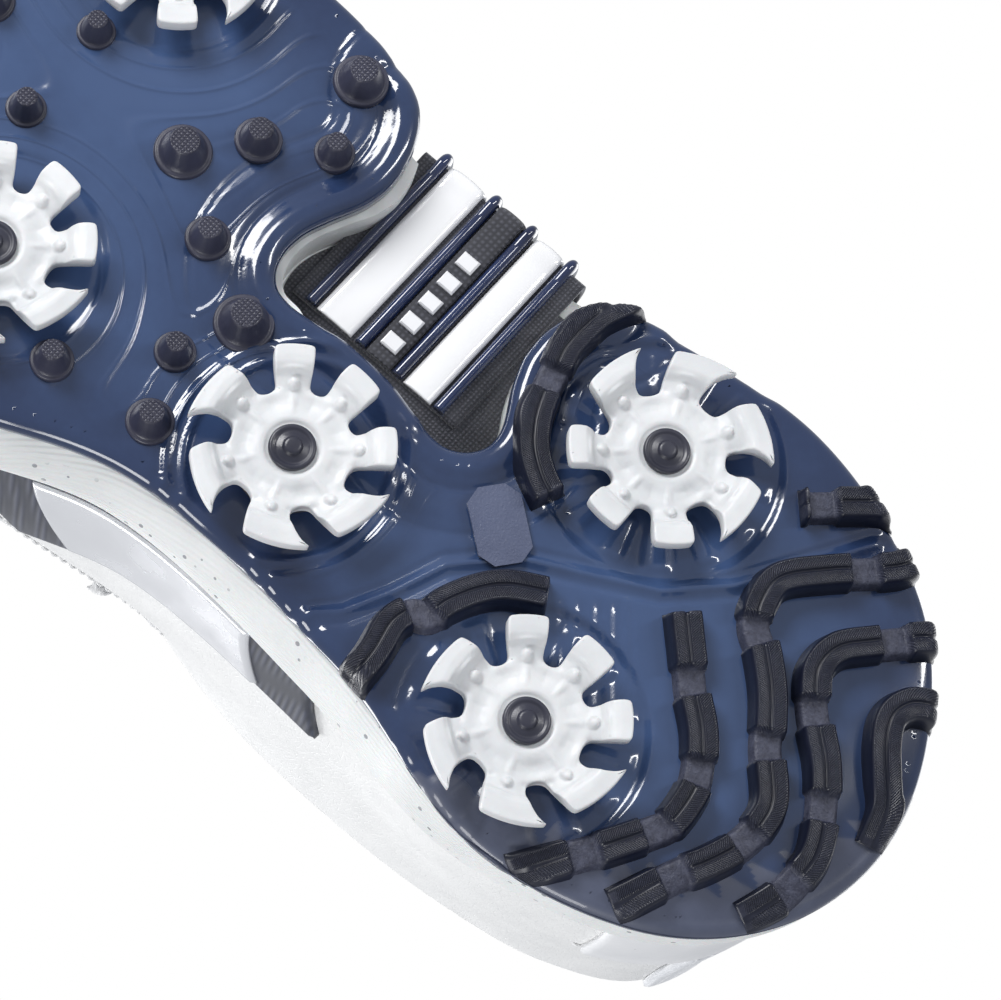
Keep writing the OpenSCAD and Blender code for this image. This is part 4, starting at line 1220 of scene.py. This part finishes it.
def eyestay(name, u0, u1, side, node):
    """A stay with a hole punched for each eyelet."""
    stay = make(name, *patch(u0, u1, 0.8505, 1, -1.6, 0.8, 120, 24), M["guard"], nodes=[node],
                slot="guard_leather")
    a = np.arange(32) * 2 * np.pi / 32
    pins = []
    for k in range(6):
        c, ex, ey, ez = eye_axes(abs(side - eye_u(k)))
        ring = c + 2.5 * (np.cos(a)[:, None] * ex + np.sin(a)[:, None] * ey)
        ends = [list(range(32))[::-1], list(range(32, 64))]
        pins.append((np.vstack([ring - 5 * ez, ring + 5 * ez]), grid_faces(2, 32, 0, True).tolist() + ends))
    pin_v, pin_f = join(pins)
    mesh = bpy.data.meshes.new("punch")
    mesh.from_pydata((pin_v - ORIGIN) / 1000, [], pin_f)
    punch = bpy.data.objects.new("punch", mesh)
    bpy.context.scene.collection.objects.link(punch)
    cut_away(stay, punch)
    bpy.data.objects.remove(punch)


eyestay("stay_outer_side", 0.3005, 0.475, 0, "eyestay_lateral")
eyestay("stay_inner_side", 0.525, 0.6995, 1, "eyestay_medial")
rings = []
for side in (0, 1):
    for k in range(6):
        c, ex, ey, ez = eye_axes(abs(side - eye_u(k)))
        prof = np.array([(2.0, -1.8), (2.45, -1.8), (2.45, 0.9), (2.9, 1.0), (3.5, 0.95), (3.62, 1.1),
                         (3.4, 1.45),
                         (2.9, 1.68), (2.4, 1.62), (2.1, 1.35), (2.0, 1.0)])
        a = np.arange(40) * 2 * np.pi / 40
        ring = c + prof[:, 0, None, None] * (np.cos(a)[:, None] * ex + np.sin(a)[:, None] * ey) + prof[:, 1,
            None, None] * ez
        m = len(prof)
        faces = grid_faces(m, 40, 0,
                           True).tolist() + [[(m - 1) * 40 + j, (m - 1) * 40 + (j + 1) % 40, (j + 1) % 40,
                                              j] for j in range(40)]
        rings.append((ring.reshape(-1, 3), faces))
make("eyelet_rings", *join(rings), M["eyelet"], nodes=["eyelets"], slot="eyelet_metal")

# ---- lace ----
def lace_bar(k, s):
    u0 = eye_u(k)
    a = 1 - u0 if s > 0 else u0
    b = 1 - a
    c = mix(upper_at(a, 1.0), upper_at(b, 1.0), 0.5) + [0, 0, 6.5]
    return [skin_at(a, EYE_V, -3.05), skin_at(a, EYE_V, 0.3), skin_at(a, EYE_V, 3.1), skin_at(a, 1.0, 3.9), c,
            skin_at(b, 1.0, 3.9), skin_at(b, EYE_V, 3.1), skin_at(b, EYE_V, 0.3), skin_at(b, EYE_V, -3.05)]


points, widths = [], []
for k in range(5, -1, -1):
    points += lace_bar(k, -1 if k % 2 == 0 else 1)
    widths += [0.9, 0.9, 1.1, 1.9, 2.2, 1.9, 1.1, 0.9, 0.9]
points = np.array(points, float)
t = np.linspace(0, 1, 900)
path = along(points, t)
half_w = along(np.array(widths)[:, None], t)[:, 0]
thick = 0.55 + 0.4 * (half_w < 1.2)
centre = np.array([150.0, 2.0, 60.0])
up = path - centre
up /= np.linalg.norm(up, axis=1, keepdims=True)
section = np.stack([oval(w, h, 12) for w, h in zip(half_w, thick)])
make("lace_cord", *sweep(path, section, up=up), M["lace"], nodes=["lace"], slot="lace_cotton")

# ---- tongue ----
def tongue_at(u, t, off):
    left = skin_at(u, mix(0.8, 1, t / 0.25), off)
    right = skin_at(1 - u, mix(0.8, 1, (1 - t) / 0.25), off)
    w = (t - 0.25) / 0.5
    mid = mix(skin_at(u, 1, off), skin_at(1 - u, 1, off), w[..., None])
    mid = mid + (16 * w * (1 - w))[..., None] * np.array([0, 0, 1.0])
    return np.where((t < 0.25)[..., None], left, np.where((t > 0.75)[..., None], right, mid))


def tongue_sheet(rows, cols, off, puff=0.0):
    t = np.linspace(0, 1, cols + 1)[None, :]
    u = np.linspace(0.487, 0.301, rows + 1)[:, None]
    U, T = np.broadcast_arrays(u, t)
    e = np.minimum(T, 1 - T)
    f = np.minimum((U - 0.301) / 0.186, 1 - (U - 0.301) / 0.186)
    round_edge = 1 - np.clip(1 - e / 0.06, 0, 1) ** 2
    quilt = 1 - 0.35 * np.exp(-(((np.abs(T - 0.5) - 0.16) / 0.012) ** 2))
    bulge = puff * round_edge * quilt * (0.75 + 0.25 * np.clip(f / 0.1, 0, 1))
    return tongue_at(U, T, off + bulge)


def tongue_flap_sheet(rows, cols, off, puff=0.0):
    t = np.linspace(0, 1, cols + 1)[None, :]
    s = np.linspace(0, 1, rows + 1)[:, None]
    S, T = np.broadcast_arrays(s, t)
    e = np.clip(np.minimum(T, 1 - T) / 0.08, 0, 1)
    f = np.clip(np.minimum(1 - S, 1) / 0.12, 0, 1)
    round_edge = np.sqrt(np.clip(1 - (1 - e) ** 2, 0, 1)) * np.sqrt(np.clip(1 - (1 - f) ** 2, 0, 1))
    quilt = 1 - 0.4 * np.exp(-(((S - 0.2) / 0.03) ** 2)) - 0.4 * np.exp(-(((np.abs(T - 0.5)
        - 0.22) / 0.015) ** 2))
    p = tongue_at(np.full(S.shape, 0.301), T, off + puff * (round_edge * quilt - 0.6))
    side = 1.5 + (p[..., 1] - 1.5) * (1 - 0.06 * S)
    reach = 0.6 + S * (26 - 5 * (np.abs(p[..., 1] - 1.5) / 22) ** 2)
    q = np.stack([p[..., 0], side, p[..., 2]], -1)
    return q + reach[..., None] * np.array([-0.62, 0, 0.78])


base_piece = make("tongue_pad", *shell(tongue_sheet(110, 90, -5.2, 0.5), tongue_sheet(110, 90, -9.2, -0.2)),
                  M["tongue"],
                  nodes=["tongue_base"], slot="tongue_mesh")
flap_piece = make("tongue_top_pad",
                  *shell(tongue_flap_sheet(50, 100, -5.2, 1.2), tongue_flap_sheet(50, 100, -9.2, -1.0)),
                  M["tongue"], body="tongue_top", nodes=["tongue_flap"], slot="tongue_mesh")


def label_sheet(off):
    t = np.linspace(0.385, 0.615, 31)[None, :]
    s = np.linspace(0.27, 0.75, 25)[:, None]
    S, T = np.broadcast_arrays(s, t)
    p = tongue_at(np.full(S.shape, 0.301), T, np.full(S.shape, off))
    side = 1.5 + (p[..., 1] - 1.5) * (1 - 0.06 * S)
    reach = 0.6 + S * (26 - 5 * (np.abs(p[..., 1] - 1.5) / 22) ** 2)
    q = np.stack([p[..., 0], side, p[..., 2]], -1)
    return q + reach[..., None] * np.array([-0.62, 0, 0.78])


make("tongue_tag", *shell(label_sheet(-3.9), label_sheet(-5.0)), M["label"], body="tongue_top",
                   nodes=["tongue_label"], slot="label_rubber")

# ---- inside ----
def cushion(u0, u1, v0, v1, off_in, off_out, cols, rows, channels=()):
    """A padded band: full in the middle, thin at its edges, drawn in along sewn channels."""
    u = np.linspace(u0, u1, cols + 1)[None, :]
    v = np.linspace(v0, v1, rows + 1)[:, None]
    U, V = np.broadcast_arrays(u, v)
    s, t = (U - u0) / (u1 - u0), (V - v0) / (v1 - v0)
    full = np.sqrt(np.clip(1 - (2 * t - 1) ** 2, 0, 1)) * np.clip(np.minimum(s, 1 - s) / 0.04, 0, 1) ** 0.5
    for c in channels:
        full = full * (1 - 0.45 * np.exp(-(((s - c) / 0.006) ** 2)))
    mid = off_out - 0.6
    return shell(skin_at(U, V, mix(mid, off_out, full)), skin_at(U, V, mix(mid - 0.8, off_in, full)))


collar = make("collar_pad", *cushion(-0.25, 0.25, 0.62, 0.97, -8, -2, 260, 40, (0.2, 0.35, 0.65, 0.8)),
              M["knit"],
              nodes=["collar_padding"], slot="collar_knit")
make("quarter_lining_cloth", *patch(-0.2995, 0.2995, 0.03, 0.6, -3.9, -2.9, 220, 30, roll=0.3), M["lining"],
     nodes=["quarter_lining"], slot="lining_knit")
make("vamp_lining_cloth", *patch(0.3005, 0.6995, 0.0708, 0.8495, -3.9, -3.0, 160, 50, roll=0.3), M["lining"],
     nodes=["vamp_lining"], slot="lining_knit")


def bed(inset, rise, n=240):
    u = np.arange(n) / n
    p = edge_in(u, inset + round_list(INSET, u))
    return np.column_stack([p, feather_z(p[:, 0]) + rise])


levels = [bed(5.6, 2.4), bed(4.9, 2.9), bed(4.8, 4.4), bed(5.0, 5.6), bed(5.8, 6.35), bed(7.5, 6.5),
          bed(14, 5.9)]
n = 240
bed_v = np.concatenate(levels)
bed_f = grid_faces(len(levels), n, 0, True).tolist()
for level, flip in ((0, True), (len(levels) - 1, False)):
    s = level * n
    for k in range(n // 2):
        q = [k, k + 1, (n - k - 1) % n, (n - k) % n]
        q = [s + x for j, x in enumerate(q) if x not in q[:j]]
        if len(q) > 2:
            bed_f.append(q[::-1] if flip else q)
make("footbed", bed_v, bed_f, M["liner"], nodes=["sockliner"], slot="liner_foam")

# ---- CAD nodes that stay ----
KEEP = {"sole_patch": "patch", "shank_plate": "steel", "strobel_board": "board", "toe_puff": "stiff",
        "heel_stiffener": "stiff"}
KEEP.update({f"cleat_socket_{i}": "socket" for i in range(1, 8)})
for name, key in KEEP.items():
    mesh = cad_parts[name].data
    mesh.materials.clear()
    mesh.materials.append(M[key])

# ---- studio ----
def plane(name, z, size, up=True):
    mesh = bpy.data.meshes.new(name)
    s = size / 2
    corners = [(-s, -s, z), (s, -s, z), (s, s, z), (-s, s, z)]
    mesh.from_pydata(corners, [], [(0, 1, 2, 3) if up else (3, 2, 1, 0)])
    obj = bpy.data.objects.new(name, mesh)
    bpy.context.scene.collection.objects.link(obj)
    for flag in ("visible_diffuse", "visible_glossy", "visible_transmission", "visible_shadow"):
        setattr(obj, flag, False)
    return obj


floor = plane("studio_floor", -0.0004, 8)
m = bpy.data.materials.new("floor_pale")
m.use_nodes = True
tree = m.node_tree
tree.nodes["Principled BSDF"].inputs["Base Color"].default_value = rgb(236, 236, 236)
tree.nodes["Principled BSDF"].inputs["Roughness"].default_value = 0.7
geo, clear, blend = (tree.nodes.new(k) for k in ("ShaderNodeNewGeometry", "ShaderNodeBsdfTransparent",
    "ShaderNodeMixShader"))
tree.links.new(geo.outputs["Backfacing"], blend.inputs[0])
tree.links.new(tree.nodes["Principled BSDF"].outputs[0], blend.inputs[1])
tree.links.new(clear.outputs[0], blend.inputs[2])
tree.links.new(blend.outputs[0], tree.nodes["Material Output"].inputs[0])
floor.data.materials.append(m)

bpy.ops.mesh.primitive_uv_sphere_add(segments=32, ring_count=16, radius=7)
dome = bpy.context.object
dome.name = "studio_backdrop"
for flag in ("visible_diffuse", "visible_glossy", "visible_transmission", "visible_shadow"):
    setattr(dome, flag, False)
m = bpy.data.materials.new("backdrop_white")
m.use_nodes = True
m.node_tree.nodes.clear()
glow, out = (m.node_tree.nodes.new(k) for k in ("ShaderNodeEmission", "ShaderNodeOutputMaterial"))
m.node_tree.links.new(glow.outputs[0], out.inputs[0])
dome.data.materials.append(m)

world = bpy.data.worlds.new("studio")
bpy.context.scene.world = world
world.use_nodes = True
world.node_tree.nodes["Background"].inputs[0].default_value = (0.62, 0.64, 0.68, 1)
world.node_tree.nodes["Background"].inputs[1].default_value = 0.68


def softbox(name, where, aim, size, power):
    data = bpy.data.lights.new(name, "AREA")
    data.shape, data.size, data.size_y, data.energy = "RECTANGLE", size[0], size[1], power
    obj = bpy.data.objects.new(name, data)
    obj.location = where
    obj.rotation_euler = (Vector(aim) - Vector(where)).to_track_quat("-Z", "Y").to_euler()
    bpy.context.scene.collection.objects.link(obj)


CAM = np.array([31.2, -170.4, -479.3]) - ORIGIN
right = Vector((-0.757, 0.635, -0.154))
view_up = Vector((0.648, 0.698, -0.305))
eye = Vector(CAM / 1000)
aim = Vector(((75.9 - ORIGIN[0]) / 1000, (0.7 - ORIGIN[1]) / 1000, 0.0065))
softbox("key", eye + view_up * 0.75 - right * 0.35, aim, (0.5, 0.35), 9)
softbox("strip", eye + right * 0.75 + view_up * 0.35, aim, (0.08, 0.5), 3)
softbox("low_fill", eye - view_up * 0.8 - right * 0.5, aim, (0.6, 0.4), 6)
softbox("top_key", (0.5, -0.6, 0.9), (0, 0, 0.05), (0.6, 0.6), 7)
softbox("top_fill", (-0.6, 0.6, 0.8), (0, 0, 0.05), (0.8, 0.8), 4)

cam_data = bpy.data.cameras.new("camera")
cam_data.lens, cam_data.sensor_width = 129.6, 36
cam = bpy.data.objects.new("camera", cam_data)
bpy.context.scene.collection.objects.link(cam)
back = -Vector((0.0865, 0.331, 0.940)).normalized()
x_axis = right.normalized()
y_axis = back.cross(x_axis).normalized()
x_axis = y_axis.cross(back).normalized()
rot = np.array([x_axis, y_axis, back]).T
cam.matrix_world = Matrix.Translation(eye) @ Matrix(rot.tolist()).to_4x4()
bpy.context.scene.camera = cam
bpy.context.scene.view_settings.view_transform = "Standard"
